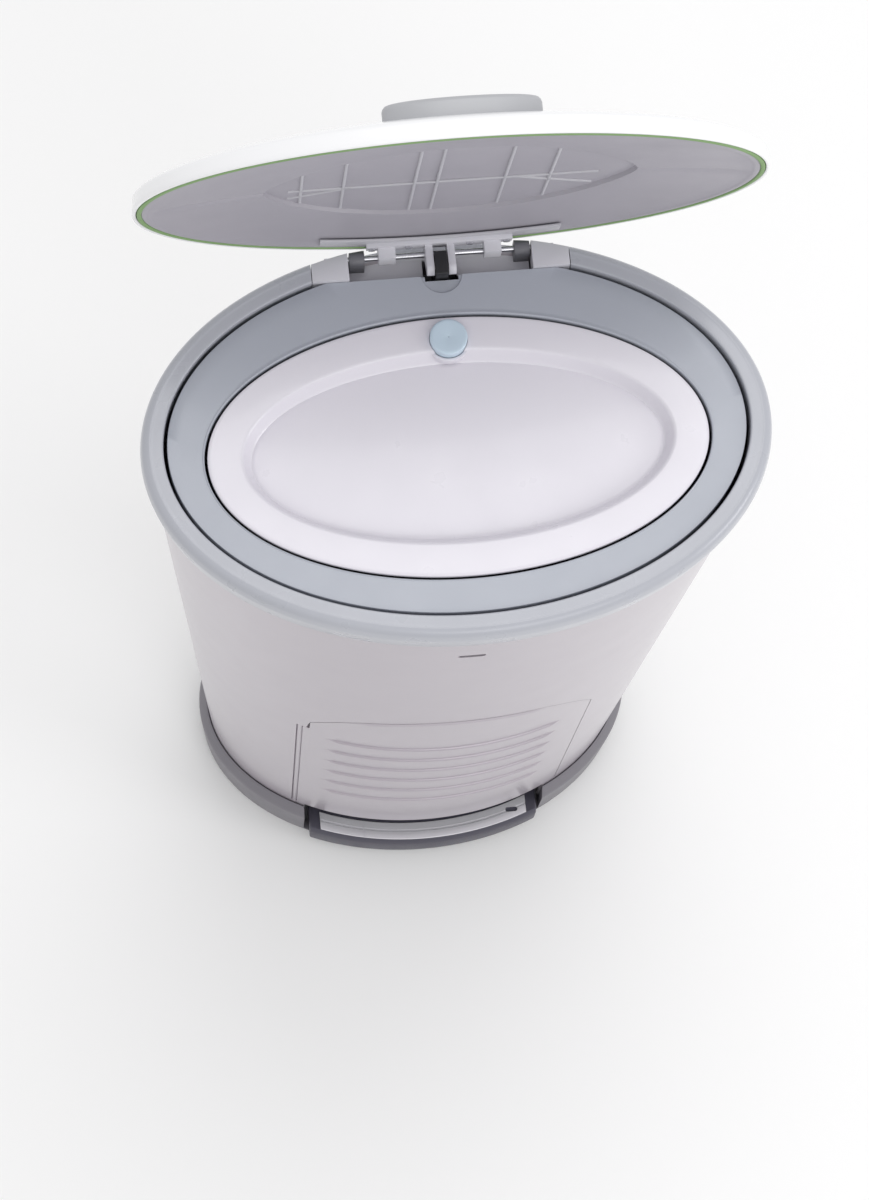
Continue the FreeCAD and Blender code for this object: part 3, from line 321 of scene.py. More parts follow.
def finish(
    name, colour, rough, metallic=0.0, coat=0.0, cloud=9.0, grain=900.0, bump=0.15, spread=0.05,
    stretch=EVEN, vary=0.05
):
    """One procedural material on the shared surface group."""
    material = bpy.data.materials.new(name)
    material.use_nodes = True
    nodes, links = material.node_tree.nodes, material.node_tree.links
    shader = nodes["Principled BSDF"]
    shader.inputs["Metallic"].default_value = metallic
    shader.inputs["Coat Weight"].default_value = coat
    shader.inputs["Coat Roughness"].default_value = 0.12
    place = nodes.new("ShaderNodeTexCoord")
    aim = nodes.new("ShaderNodeMapping")
    aim.inputs["Scale"].default_value = stretch
    life = nodes.new("ShaderNodeGroup")
    life.node_tree = SURFACE
    life.inputs["Light Tone"].default_value = tint(*colour, 1.0 + spread)
    life.inputs["Dark Tone"].default_value = tint(*colour, 1.0 - spread)
    life.inputs["Cloud Scale"].default_value = cloud
    life.inputs["Grain Scale"].default_value = grain
    life.inputs["Low Roughness"].default_value = max(0.02, rough - vary)
    life.inputs["High Roughness"].default_value = rough + vary
    relief = nodes.new("ShaderNodeBump")
    relief.inputs["Strength"].default_value = bump
    relief.inputs["Distance"].default_value = 0.0004
    links.new(place.outputs["Object"], aim.inputs["Vector"])
    links.new(aim.outputs["Vector"], life.inputs["Vector"])
    links.new(life.outputs["Colour"], shader.inputs["Base Color"])
    links.new(life.outputs["Roughness"], shader.inputs["Roughness"])
    links.new(life.outputs["Height"], relief.inputs["Height"])
    links.new(relief.outputs["Normal"], shader.inputs["Normal"])
    return material


# %% The finishes of this bin
FINISHES = {
    "body_metal": finish(
        "satin_silver_lacquer", (180, 173, 181), 0.3, metallic=0.35, coat=0.4, grain=2600,
        bump=0.03, spread=0.02,
        vary=0.015
    ),
    "dark_trim": finish("base_ring_plastic", (118, 115, 122), 0.42, grain=1500, bump=0.3),
    "rim_grey": finish("rim_plastic", (176, 178, 186), 0.3, coat=0.3, grain=1800, bump=0.1),
    "deck_grey": finish("deck_plastic", (172, 176, 186), 0.34, coat=0.2, grain=1800, bump=0.12),
    "hinge_plastic": finish("hinge_plastic", (206, 205, 212), 0.4, grain=1500, bump=0.15),
    "hinge_ear": finish("hinge_ear_plastic", (104, 104, 110), 0.4, grain=1500, bump=0.2),
    "steel": finish(
        "drawn_steel", (205, 205, 210), 0.26, metallic=1.0, grain=1200, bump=0.2, stretch=(0.08, 1, 1)
    ),
    "inner_plastic": finish("inner_plastic", (128, 128, 133), 0.5, grain=1200, bump=0.3),
    "cassette_plastic": finish("cassette_plastic", (214, 216, 220), 0.42, grain=1200, bump=0.2),
    "pad_rubber": finish("pad_rubber", (46, 46, 48), 0.8, grain=1600, bump=0.5),
    "black_plastic": finish("rod_plastic", (34, 34, 37), 0.38, grain=1500, bump=0.2),
    "lid_white": finish(
        "lid_gloss_plastic", (243, 243, 245), 0.22, coat=0.5, grain=1400, bump=0.05, spread=0.02
    ),
    "liner_grey": finish(
        "liner_plastic", (166, 163, 171), 0.45, grain=1300, bump=0.25, cloud=14.0, spread=0.08
    ),
    "seal_green": finish("seal_rubber", (128, 160, 106), 0.6, grain=1800, bump=0.3),
    "handle_grey": finish("handle_plastic", (172, 173, 177), 0.35, grain=1500, bump=0.15),
    "flap_white": finish(
        "flap_plastic", (226, 223, 231), 0.32, coat=0.3, grain=1500, bump=0.08, spread=0.025
    ),
    "button_blue": finish("button_plastic", (200, 218, 232), 0.32, coat=0.3, grain=1500, bump=0.08),
    "pedal_grey": finish("pedal_plastic", (74, 72, 84), 0.4, grain=1400, bump=0.25),
    "plate_chrome": finish(
        "plate_chrome", (232, 231, 236), 0.2, metallic=0.45, coat=0.5, grain=1600, bump=0.04,
        stretch=(0.1, 1, 1)
    ),
    "cutter_plastic": finish("cutter_plastic", (214, 132, 60), 0.42, grain=1300, bump=0.2),
}
RIB_TONE = finish("rib_plastic", (190, 189, 195), 0.45, grain=1300, bump=0.2)
print("finishes", len(FINISHES) + 1)


def dress(obj, body, slot, *nodes, material=None):
    """Give a piece its finish and its body, and hide the nodes that it stands for."""
    obj.data.materials.clear()
    obj.data.materials.append(material or FINISHES[slot])
    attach(obj, body)
    if nodes:
        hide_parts(*nodes)
    print(obj.name, "faces", len(obj.data.polygons))
    return obj


# %% [markdown]
# ## The body tube
# The real tube is a rolled, lacquered shell with a door opening in its lower front. Its grid follows
# the opening: one patch goes round the back, one fills the front above the door's arch, and two
# strips stand beside the pedal. Solidify gives the wall its thickness.

# %% The door's outline
DOOR_SIDE = -reach("door_panel")[0].x
DOOR_LOW = reach("door_panel")[0].z
DOOR_TOP = reach("door_panel")[1].z
DOOR_SIDE_TOP = 352.0
SHOULDER = (65.0, 407.0)
SHOULDER_BULGE = (0.42, 0.6)
DOOR_GAP = 0.6
CORNER_RELIEF = 5.9
DOOR_AXIS_X = -DOOR_SIDE + 2.6
PEDAL_GAP = 98.0
BODY_FOOT = body_low.z


def circle_height(x, one, two, three):
    """Height at x on the upper arc of the circle through three points."""
    (ax, az), (bx, bz), (cx, cz) = one, two, three
    d = 2 * (ax * (bz - cz) + bx * (cz - az) + cx * (az - bz))
    a2, b2, c2 = ax * ax + az * az, bx * bx + bz * bz, cx * cx + cz * cz
    mx = (a2 * (bz - cz) + b2 * (cz - az) + c2 * (az - bz)) / d
    mz = (a2 * (cx - bx) + b2 * (ax - cx) + c2 * (bx - ax)) / d
    radius = math.hypot(ax - mx, az - mz)
    return mz + math.sqrt(max(0.0, radius * radius - (x - mx) ** 2))


def arch(x):
    """Height of the door's top edge at x."""
    x = min(abs(x), DOOR_SIDE)
    if x <= SHOULDER[0]:
        return circle_height(x, (-SHOULDER[0], SHOULDER[1]), (0.0, DOOR_TOP), SHOULDER)
    bulge_x = DOOR_SIDE - (DOOR_SIDE - SHOULDER[0]) * SHOULDER_BULGE[0]
    bulge_z = DOOR_SIDE_TOP + (SHOULDER[1] - DOOR_SIDE_TOP) * SHOULDER_BULGE[1]
    return circle_height(x, (DOOR_SIDE, DOOR_SIDE_TOP), (bulge_x, bulge_z), SHOULDER)


def spaced(low, high, count):
    return [low + (high - low) * i / count for i in range(count + 1)]


def grid_faces(columns, rows, start=0):
    faces = []
    for c in range(columns - 1):
        for r in range(rows - 1):
            a = start + c * rows + r
            faces.append((a, a + rows, a + rows + 1, a + 1))
    return faces


# %% Body shell
def body_points():
    side = DOOR_SIDE + DOOR_GAP
    corner = DOOR_SIDE_TOP + DOOR_GAP
    sill = DOOR_LOW - DOOR_GAP
    low_rows = spaced(BODY_FOOT, sill, 3) + spaced(sill, corner, 24)[1:]
    shares = [i / 26 for i in range(27)]
    rows = low_rows + [corner + (BODY_TOP - corner) * s for s in shares[1:]]
    points = []
    columns = 190
    for i in range(columns + 1):
        for z in rows:
            half_x, half_y, shift = body_half(z)
            start = -math.acos(side / half_x)
            turn = start + (math.pi - 2 * start) * i / columns
            points.append((half_x * math.cos(turn), shift + half_y * math.sin(turn), z))
    faces = grid_faces(columns + 1, len(rows))
    start = len(points)
    across = spaced(-side, side, 96)
    for x in across:
        covered = x < DOOR_AXIS_X + CORNER_RELIEF - 1.0 or x > side - 0.01
        edge = corner if covered else max(corner, arch(x) + DOOR_GAP)
        for s in shares:
            z = edge + (BODY_TOP - edge) * s
            points.append((x, skin_y(x, z), z))
    faces += grid_faces(len(across), len(shares), start)
    for x0, x1 in ((-side, -PEDAL_GAP), (PEDAL_GAP, side)):
        start = len(points)
        strip = spaced(x0, x1, 4)
        heights = spaced(BODY_FOOT, sill, 3)
        points += [(x, skin_y(x, z), z) for x in strip for z in heights]
        faces += grid_faces(len(strip), len(heights), start)
    return points, faces


def body_shell():
    obj = from_points("body_tube", *body_points())
    wall = obj.modifiers.new("wall", "SOLIDIFY")
    wall.thickness = WALL * MM
    wall.offset = -1.0
    wall.use_even_offset = True
    settle(obj)
    low, high = reach("slot_insert")
    middle = (low.z + high.z) / 2
    slot = soften(block(-9.0, 9.0, -160.0, -60.0, middle - 2.4, middle + 2.4), 2.0, 4)
    return carve(obj, slot)


dress(body_shell(), "bin", "body_metal", "body_shell")

# %% [markdown]
# ## The bag door
# The door is a curved panel with raised steps moulded across it for grip. Each step is a small
# ridge with a hollow under it, so it catches a bright line above a dark one. The grid has close
# rows at the steps and wide rows between them.

# %% Door panel with its steps
STEP_HEIGHTS = (150.0, 187.0, 224.0, 260.0, 296.0, 332.0)
STEP_HALF = 88.0
STEP_RISE = 1.5
SWING_GAP = 0.7


def step_out(x, z):
    """How far the panel stands out at x and z."""
    fade = min(1.0, max(0.0, (STEP_HALF - abs(x)) / 10.0))
    fade = fade * fade * (3 - 2 * fade)
    out = 0.0
    for height in STEP_HEIGHTS:
        above = z - height
        if -16.0 < above < 0.0:
            out -= STEP_RISE * 0.5 * (1.0 + above / 16.0) * fade
        elif 0.0 <= above < 3.0:
            out += STEP_RISE * math.sin(math.pi * above / 3.0) * fade
    return out


def ledge_out(x, depth):
    """Raised bead along the arched top edge."""
    fade = min(1.0, max(0.0, (70.0 - abs(x)) / 12.0))
    return 1.3 * fade * math.exp(-(((depth - 3.0) / 1.8) ** 2))


def door_panel():
    heights = set(spaced(DOOR_LOW, DOOR_SIDE_TOP, 50))
    for height in STEP_HEIGHTS:
        heights |= {height + 0.5 * k for k in range(-3, 8)}
        heights |= {height - 2.0 * k for k in range(1, 8)}
    heights = sorted(z for z in heights if DOOR_LOW <= z <= DOOR_SIDE_TOP)
    relief_x = DOOR_AXIS_X + CORNER_RELIEF
    across = [DOOR_AXIS_X + 1.2, relief_x - CORNER_RELIEF / 2] + spaced(relief_x, DOOR_SIDE, 84)
    points = [(x, skin_y(x, z, step_out(x, z)), z) for x in across for z in heights]
    faces = grid_faces(len(across), len(heights))
    start = len(points)
    shares = [0.0, 0.15, 0.3, 0.45, 0.6, 0.7, 0.78, 0.84, 0.88, 0.91, 0.94, 0.96, 0.975, 0.99, 1.0]
    upper = across[2:]
    for x in upper:
        swing = SWING_GAP if x < -SHOULDER[0] else 0.0
        top = max(arch(x) - swing, DOOR_SIDE_TOP + 0.4)
        for share in shares:
            z = DOOR_SIDE_TOP + (top - DOOR_SIDE_TOP) * share
            out = ledge_out(x, top - z) if share else step_out(x, z)
            points.append((x, skin_y(x, z, out), z))
    faces += grid_faces(len(upper), len(shares), start)
    obj = from_points("door_panel_shell", points, faces, degrees=50.0)
    wall = obj.modifiers.new("wall", "SOLIDIFY")
    wall.thickness = WALL * MM
    wall.offset = -1.0
    settle(obj)
    smooth(obj.data, 50.0)
    return obj


def bar_between(name, start, end, radius, sides=32):
    """Round bar between two points."""
    along = (end - start).normalized()
    side = along.orthogonal().normalized()
    other = along.cross(side)
    rings = []
    chamfer = along * radius * 0.12
    steps = [(start, 0.88), (start + chamfer, 1.0), (end - chamfer, 1.0), (end, 0.88)]
    for place, share in steps:
        ring = []
        for i in range(sides):
            t = 2 * math.pi * i / sides
            ring.append(tuple(place + (side * math.cos(t) + other * math.sin(t)) * radius * share))
        rings.append(ring)
    return from_rings(name, rings, caps=(True, True))


def door_knuckle():
    hinge = joints["door_hinge"]
    foot = Vector(hinge["pos_m"]) / MM
    along = Vector(hinge["axis"]) * -1.0
    low = foot + along * ((DOOR_LOW + 0.8 - foot.z) / along.z)
    high = foot + along * ((DOOR_SIDE_TOP - foot.z) / along.z)
    return bar_between("door_knuckle", low, high, 2.55)


dress(door_panel(), "door", "body_metal", "door_panel")
dress(door_knuckle(), "door", "body_metal")

# %% [markdown]
# ## Rim, deck and base ring
# These are mouldings with one section all the way round, so each is a rounded profile swept round
# an oval. The notch for the hinge and the mouth for the pedal are cut afterwards.

# %% Rim collar
HINGE_NOTCH = 84.5


def rim_collar():
    top = RIM_Z
    profile = [
        (15.0, BODY_TOP),
        (15.0, top - 0.7),
        (14.0, top - 0.1),
        (7.4, top - 0.35),
        (6.2, top),
        (3.4, top - 0.9),
        (1.2, top - 3.6),
        (0.0, top - 10.0),
        (1.4, top - 22.0),
        (3.0, top - 31.0),
        (4.0, top - 31.8),
        (5.5, top - 31.8),
        (5.6, BODY_TOP),
    ]
    collar = oval_sweep("rim_band", RIM_X, RIM_Y, rounded(profile, 1.6, 3))
    notch = block(-HINGE_NOTCH, HINGE_NOTCH, 97.0, 200.0, BODY_TOP - 0.01, top + 20.0)
    return carve(collar, notch)


dress(rim_collar(), "bin", "rim_grey", "rim_collar")

# %% Inner deck
FLAP_X = reach("trap_flap")[1].x
FLAP_Y = 87.5
FLAP_SHIFT = reach("trap_flap")[0].y + FLAP_Y
FLAP_Z = RIM_Z - 4.0
FLAP_GAP = 1.8
PIT_FRONT = 108.7


def deck_plate():
    outer_x, outer_y = RIM_X - 17.3, RIM_Y - 17.3
    inner_x, inner_y = FLAP_X + FLAP_GAP, FLAP_Y + FLAP_GAP
    top = RIM_Z - 3.5
    steps = [
        (0.0, BODY_TOP), (0.0, top - 1.2), (0.003, top - 0.6), (0.008, top - 0.2), (0.02, top),
        (0.35, top - 0.15), (0.7, top - 0.3), (0.9, top - 0.45), (0.94, top - 0.5),
        (0.955, top - 0.2), (0.97, top - 0.05),
        (0.985, top - 0.15), (0.995, top - 0.5), (1.0, top - 1.0), (1.0, top - 7.0), (0.93, top - 7.0),
        (0.93, top - 3.2), (0.07, top - 3.2), (0.07, BODY_TOP),
    ]
    rings = []
    for share, z in steps:
        half_x = outer_x + (inner_x - outer_x) * share
        half_y = outer_y + (inner_y - outer_y) * share
        rings.append(oval_ring(half_x, half_y, z, FLAP_SHIFT * share))
    deck = from_rings("inner_deck", rings, loop=True)
    pit = block(-HINGE_NOTCH, HINGE_NOTCH, PIT_FRONT, 200.0, BODY_TOP - 5, top + 5)
    slot = block(-11.0, 11.0, 105.6, 200.0, BODY_TOP - 6, top + 6)
    dish = soften(drum(0.0, 110.0, 13.5, top - 1.4, top + 8), 0.9, 3)
    return carve(deck, pit, slot, dish)


def flap_ear(side):
    """Ear under the deck that carries one end of the flap's pivot."""
    pivot = Vector(joints["trap_hinge"]["pos_m"]) / MM
    x0, x1 = 67.0, 72.5
    low = RIM_Z - 6.8
    foot = pivot.z - 6
    outline = [(pivot.y - 7, low), (pivot.y + 10, low), (pivot.y + 6, foot), (pivot.y - 6, foot)]
    rings = [[(x * side, y, z) for y, z in rounded(outline, 3.0)] for x in (x0, x1)]
    word = "right" if side > 0 else "left"
    return soften(from_rings("flap_ear_" + word, rings, caps=(True, True)), 0.4)


dress(deck_plate(), "bin", "deck_grey", "deck_plate")
for side in (-1, 1):
    dress(flap_ear(side), "bin", "deck_grey")

# %% Base ring
def base_ring():
    low = reach("base_ring")[0].z
    top = reach("base_ring")[1].z
    profile = [(-0.35, low), (-8.0, low), (-8.0, top - 10.0), (-1.6, top), (-0.35, top)]
    rings = []
    for inset, z in rounded(profile, 3.2, 5):
        half_x, half_y, shift = body_half(z, inset)
        rings.append(oval_ring(half_x, half_y, z, shift))
    ring = from_rings("foot_ring", rings, loop=True)
    mouth = block(-PEDAL_GAP, PEDAL_GAP, -200.0, 0.0, 6.0, DOOR_LOW - DOOR_GAP)
    return soften(carve(ring, mouth), 0.8, 2, 50.0)


dress(base_ring(), "bin", "dark_trim", "base_ring")

# %% [markdown]
# ## The trap flap
# The flap is a white oval tray: a flat ring, a short slope and a shallow dish that carries the
# nappy. It is one skin of rings from the middle of the underside to the middle of the dish. Its
# pivot arms and crank lugs are small plates of their own.

# %% Flap tray
BUTTON_LOW, BUTTON_HIGH = reach("trap_button")
BUTTON_Y = (BUTTON_LOW.y + BUTTON_HIGH.y) / 2
BUTTON_R = (BUTTON_HIGH.x - BUTTON_LOW.x) / 2
DISH_X, DISH_Y = 132.7, 59.3
DISH_DEPTH = 10.0


def flap_tray():
    top = FLAP_Z
    floor = top - DISH_DEPTH
    out_x, out_y = FLAP_X, FLAP_Y
    under = [
        (DISH_X * 0.02, DISH_Y * 0.02, floor - 2.2),
        (DISH_X * 0.6, DISH_Y * 0.6, floor - 2.3),
        (DISH_X, DISH_Y, floor - 2.5),
        (DISH_X + 3.0, DISH_Y + 3.0, floor - 1.8),
        (DISH_X + 7.5, DISH_Y + 7.5, top - 2.6),
        (out_x - 1.0, out_y - 1.0, top - 2.5),
        (out_x, out_y, top - 2.2),
    ]
    upper = [
        (out_x, out_y, top - 1.0),
        (out_x - 0.35, out_y - 0.35, top - 0.35),
        (out_x - 1.0, out_y - 1.0, top - 0.05),
        (out_x - 2.5, out_y - 2.5, top),
        (DISH_X + 7.6, DISH_Y + 7.6, top),
        (DISH_X + 6.2, DISH_Y + 6.2, top - 0.25),
        (DISH_X + 5.3, DISH_Y + 5.3, top - 1.0),
        (DISH_X + 4.7, DISH_Y + 4.7, top - 2.2),
        (DISH_X + 1.6, DISH_Y + 1.6, floor + 1.5),
        (DISH_X + 0.8, DISH_Y + 0.8, floor + 0.3),
        (DISH_X, DISH_Y, floor - 0.25),
        (DISH_X - 0.9, DISH_Y - 0.9, floor - 0.05),
        (DISH_X - 2.5, DISH_Y - 2.5, floor + 0.12),
    ]
    for share in (0.9, 0.75, 0.6, 0.45, 0.3, 0.15, 0.02):
        upper.append((DISH_X * share, DISH_Y * share, floor + 0.15 + 0.9 * (1 - share * share)))
    rings = [oval_ring(x, y, z, FLAP_SHIFT) for x, y, z in under + upper]
    tray = from_rings("trap_tray", rings, caps=(True, True), degrees=40.0)
    return carve(tray, drum(0.0, BUTTON_Y, BUTTON_R + 0.3, top - 6.4, top + 9))


def button_cup():
    """Cup under the flap that holds the button and its spring."""
    top = FLAP_Z - 2.0
    low = FLAP_Z - 8.0
    outer = BUTTON_R + 2.3
    inner = BUTTON_R + 0.3
    outline = [(outer, top), (outer, low), (0.4, low), (0.4, low + 1.5), (inner, low + 1.5), (inner, top)]
    return turned("button_cup", outline, BUTTON_Y)


def turned(name, outline, y, radius=0.5):
    """Closed outline of (radius, height) points, turned about an upright line at y."""
    rings = []
    for r, z in rounded(outline, radius, 3):
        turns = [2 * math.pi * i / 72 for i in range(72)]
        rings.append([(r * math.cos(t), y + r * math.sin(t), z) for t in turns])
    return from_rings(name, rings, loop=True)


def plate_x(name, outline, x0, x1, corner=2.0):
    """Flat plate with a rounded outline of (y, z) points between two x."""
    edge = rounded(outline, corner)
    rings = [[(x, y, z) for y, z in edge] for x in (x0, x1)]
    return soften(from_rings(name, rings, caps=(True, True)), 0.35)


def flap_arms():
    pivot = Vector(joints["trap_hinge"]["pos_m"]) / MM
    low = FLAP_Z - 2.6
    arm = [
        (pivot.y - 30, low),
        (pivot.y - 17, low),
        (pivot.y + 4, pivot.z + 4),
        (pivot.y + 4, pivot.z - 5),
        (pivot.y - 5, pivot.z - 5),
    ]
    crank_low, crank_high = reach("crank_pin")
    y = (crank_low.y + crank_high.y) / 2
    z = (crank_low.z + crank_high.z) / 2
    lug = [(y - 5, FLAP_Z - 8.0), (y - 5, z - 4), (y, z - 5), (y + 5, z - 4), (y + 5, FLAP_Z - 8.0)]
    pieces = []
    for side, word in ((-1, "left"), (1, "right")):
        pieces.append(plate_x("flap_arm_" + word, arm, 60.0 * side, 66.0 * side))
        pieces.append(plate_x("crank_lug_" + word, lug, 3.6 * side, 6.6 * side))
    return pieces


dress(flap_tray(), "trap", "flap_white", "trap_flap")
dress(button_cup(), "trap", "flap_white")
for piece in flap_arms():
    dress(piece, "trap", "flap_white")

# %% Push button
def push_button():
    low, high = BUTTON_LOW.z, BUTTON_HIGH.z
    outline = [
        (10.0, low),
        (BUTTON_R, low),
        (BUTTON_R, high - 0.5),
        (BUTTON_R - 1.6, high - 0.05),
        (0.2, high - 0.5),
        (0.2, high - 2.0),
        (10.0, high - 2.0),
    ]
    return turned("blue_button", outline, BUTTON_Y, 0.8)


dress(push_button(), "trap_button", "button_blue", "trap_button")

# %% [markdown]
# ## The lid
# The lid is easiest to draw shut, level over the rim, and is then swung open about the hinge by the
# joint's own range. Shell, liner, seal and handle are separate mouldings as on the real lid.

# %% Swing a lid piece open
HINGE = joints["lid_hinge"]
HINGE_SPOT = Vector(HINGE["pos_m"])
SEAL_Z = RIM_Z + 0.5
LID_X = reach("lid_shell")[1].x
LID_Y = RIM_Y - 6.65
SKIRT = 9.0
DOME = 17.0


def swing(obj):
    """Turn a mesh drawn with the lid shut to where the open lid holds it."""
    to_hinge = Matrix.Translation(HINGE_SPOT)
    turn = Matrix.Rotation(-math.radians(HINGE["range_deg"][1]), 4, Vector(HINGE["axis"]))
    obj.data.transform(to_hinge @ turn @ to_hinge.inverted())
    return obj


def dome_rings(inset, lower):
    """Rings of the dome from the top of its skirt to the crown."""
    rings = []
    for k in range(1, 26):
        share = math.cos(math.pi / 2 * k / 25.5)
        z = SEAL_Z + SKIRT + DOME * (1 - share ** 2.6) ** 0.5 - lower
        rings.append(oval_ring((LID_X - 0.8 - inset) * share, (LID_Y - 0.8 - inset) * share, z))
    return rings


def lid_shell():
    half = [
        (2.5, 2.6), (2.4, 0.4), (1.9, 0.05), (0.9, 0.0), (0.3, 0.25), (0.0, 0.9), (0.2, 4.0), (0.8, SKIRT)
    ]
    outside = [oval_ring(LID_X - d, LID_Y - d, SEAL_Z + z) for d, z in half] + dome_rings(0.0, 0.0)
    inside = dome_rings(2.4, 2.4)[::-1] + [oval_ring(LID_X - 2.9, LID_Y - 2.9, SEAL_Z + SKIRT - 2.4)]
    outer = from_rings("lid_dome", outside + inside, loop=True, degrees=50.0)
    return swing(outer)


def lid_seal():
    profile = [(2.9, 2.3), (2.9, 0.1), (3.6, -0.25), (5.2, -0.25), (5.9, 0.1), (5.9, 2.3)]
    profile = [(d, SEAL_Z + z) for d, z in rounded(profile, 0.7, 3)]
    return swing(oval_sweep("seal_strip", LID_X, LID_Y, profile))


dress(lid_shell(), "lid", "lid_white", "lid_shell")
dress(lid_seal(), "lid", "seal_green", "lid_seal")

# %% [markdown]
# ## The lid's liner
# Seen from inside, the liner is a boat: its walls slope in from the rim to a pointed recess, and a
# crease runs from each tip of the recess to the end of the lid. Thin ribs cross the recess.
# The ribs follow lines, so a Geometry Nodes tree turns a mesh of plain edges into bars.

# %% Liner
RECESS_X, RECESS_Y = 116.0, 76.0
RECESS_Z = SEAL_Z + 9.0
FLOOR_Z = SEAL_Z + 11.5


def pointed_ring(half_x, half_y, z, point, crease=0.0):
    """Oval whose two ends come to a point, with a crease at each."""
    ring = []
    for i in range(SIDES):
        t = 2 * math.pi * i / SIDES
        wave = math.sin(t)
        y = half_y * math.copysign(abs(wave) ** (1.0 + point), wave)
        ring.append((half_x * math.cos(t), y, z + crease * math.exp(-((wave / 0.05) ** 2))))
    return ring


def lid_liner():
    x, y = LID_X - 6.0, LID_Y - 6.0
    rings = [
        oval_ring(x, y, SEAL_Z + 3.2),
        oval_ring(x, y, SEAL_Z + 1.4),
        oval_ring(x - 0.6, y - 0.6, SEAL_Z + 1.05),
        oval_ring(x - 3.0, y - 3.0, SEAL_Z + 1.0),
        oval_ring(x - 3.8, y - 3.8, SEAL_Z + 1.4),
    ]
    for share in (0.02, 0.12, 0.25, 0.4, 0.55, 0.7, 0.85, 0.97, 1.0):
        half_x = x - 4.0 + (RECESS_X - x + 4.0) * share
        half_y = y - 4.0 + (RECESS_Y - y + 4.0) * share
        z = SEAL_Z + 1.6 + (RECESS_Z - SEAL_Z - 1.6) * share ** 0.8
        rings.append(pointed_ring(half_x, half_y, z, 0.4 * share, 1.2 * min(share * 8, 1)))
    rings.append(pointed_ring(RECESS_X - 0.8, RECESS_Y - 0.8, FLOOR_Z, 0.42))
    for share in (0.97, 0.7, 0.4, 0.1, 0.01):
        rings.append(pointed_ring(RECESS_X * share, RECESS_Y * share, FLOOR_Z + 0.6 * (1 - share), 0.42))
    liner = from_rings("lid_liner_tray", rings, caps=(False, True), degrees=28.0)
    wall = liner.modifiers.new("wall", "SOLIDIFY")
    wall.thickness = 1.4 * MM
    wall.offset = 0.0
    settle(liner)
    smooth(liner.data, 28.0)
    return swing(liner)


dress(lid_liner(), "lid", "liner_grey", "lid_liner")

# %% Pale strip along the back of the liner
STRIP_HALF = 78.0
STRIP_DEPTH = 12.0


def back_strip():
    outer_x, outer_y = LID_X - 9.5, LID_Y - 9.5
    points = []
    for x in spaced(-STRIP_HALF, STRIP_HALF, 60):
        edge = outer_y * math.sqrt(1 - (x / outer_x) ** 2)
        points += [(x, edge, SEAL_Z + 1.0), (x, edge - STRIP_DEPTH, SEAL_Z + 1.0)]
    strip = from_points("back_strip", points, [(2 * i, 2 * i + 2, 2 * i + 3, 2 * i + 1) for i in range(60)])
    wall = strip.modifiers.new("wall", "SOLIDIFY")
    wall.thickness = 1.6 * MM
    wall.offset = 0.0
    settle(strip)
    return swing(soften(strip, 0.3))


dress(back_strip(), "lid", "liner_grey", material=RIB_TONE)

# %% Ribs by Geometry Nodes
def bars_tree():
    """Turns every edge of a mesh into a bar with a rectangular section."""
    tree = bpy.data.node_groups.new("edge_bars", "GeometryNodeTree")
    face = tree.interface
    face.new_socket("Geometry", in_out="INPUT", socket_type="NodeSocketGeometry")
    face.new_socket("Width", in_out="INPUT", socket_type="NodeSocketFloat")
    face.new_socket("Depth", in_out="INPUT", socket_type="NodeSocketFloat")
    face.new_socket("Material", in_out="INPUT", socket_type="NodeSocketMaterial")
    face.new_socket("Geometry", in_out="OUTPUT", socket_type="NodeSocketGeometry")
    nodes, links = tree.nodes, tree.links
    source = nodes.new("NodeGroupInput")
    result = nodes.new("NodeGroupOutput")
    lines = nodes.new("GeometryNodeMeshToCurve")
    section = nodes.new("GeometryNodeCurvePrimitiveQuadrilateral")
    bars = nodes.new("GeometryNodeCurveToMesh")
    bars.inputs["Fill Caps"].default_value = True
    realize = nodes.new("GeometryNodeRealizeInstances")
    paint = nodes.new("GeometryNodeSetMaterial")
    links.new(source.outputs["Geometry"], lines.inputs["Mesh"])
    links.new(source.outputs["Width"], section.inputs["Width"])
    links.new(source.outputs["Depth"], section.inputs["Height"])
    links.new(lines.outputs["Curve"], bars.inputs["Curve"])
    links.new(section.outputs["Curve"], bars.inputs["Profile Curve"])
    links.new(bars.outputs["Mesh"], realize.inputs["Geometry"])
    links.new(realize.outputs["Geometry"], paint.inputs["Geometry"])
    links.new(source.outputs["Material"], paint.inputs["Material"])
    links.new(paint.outputs["Geometry"], result.inputs["Geometry"])
    return tree


def set_inputs(step, **values):
    """Set a Geometry Nodes modifier's inputs by the identifiers of their sockets."""
    for item in step.node_group.interface.items_tree:
        key = item.name.replace(" ", "_")
        if item.item_type == "SOCKET" and item.in_out == "INPUT" and key in values:
            step[item.identifier] = values[key]


def rib_ends(x, share=1.0):
    """How far a cross rib reaches at x inside the recess."""
    return RECESS_Y * (1 - min(1.0, abs(x) / RECESS_X) ** 2) ** 0.75 * share


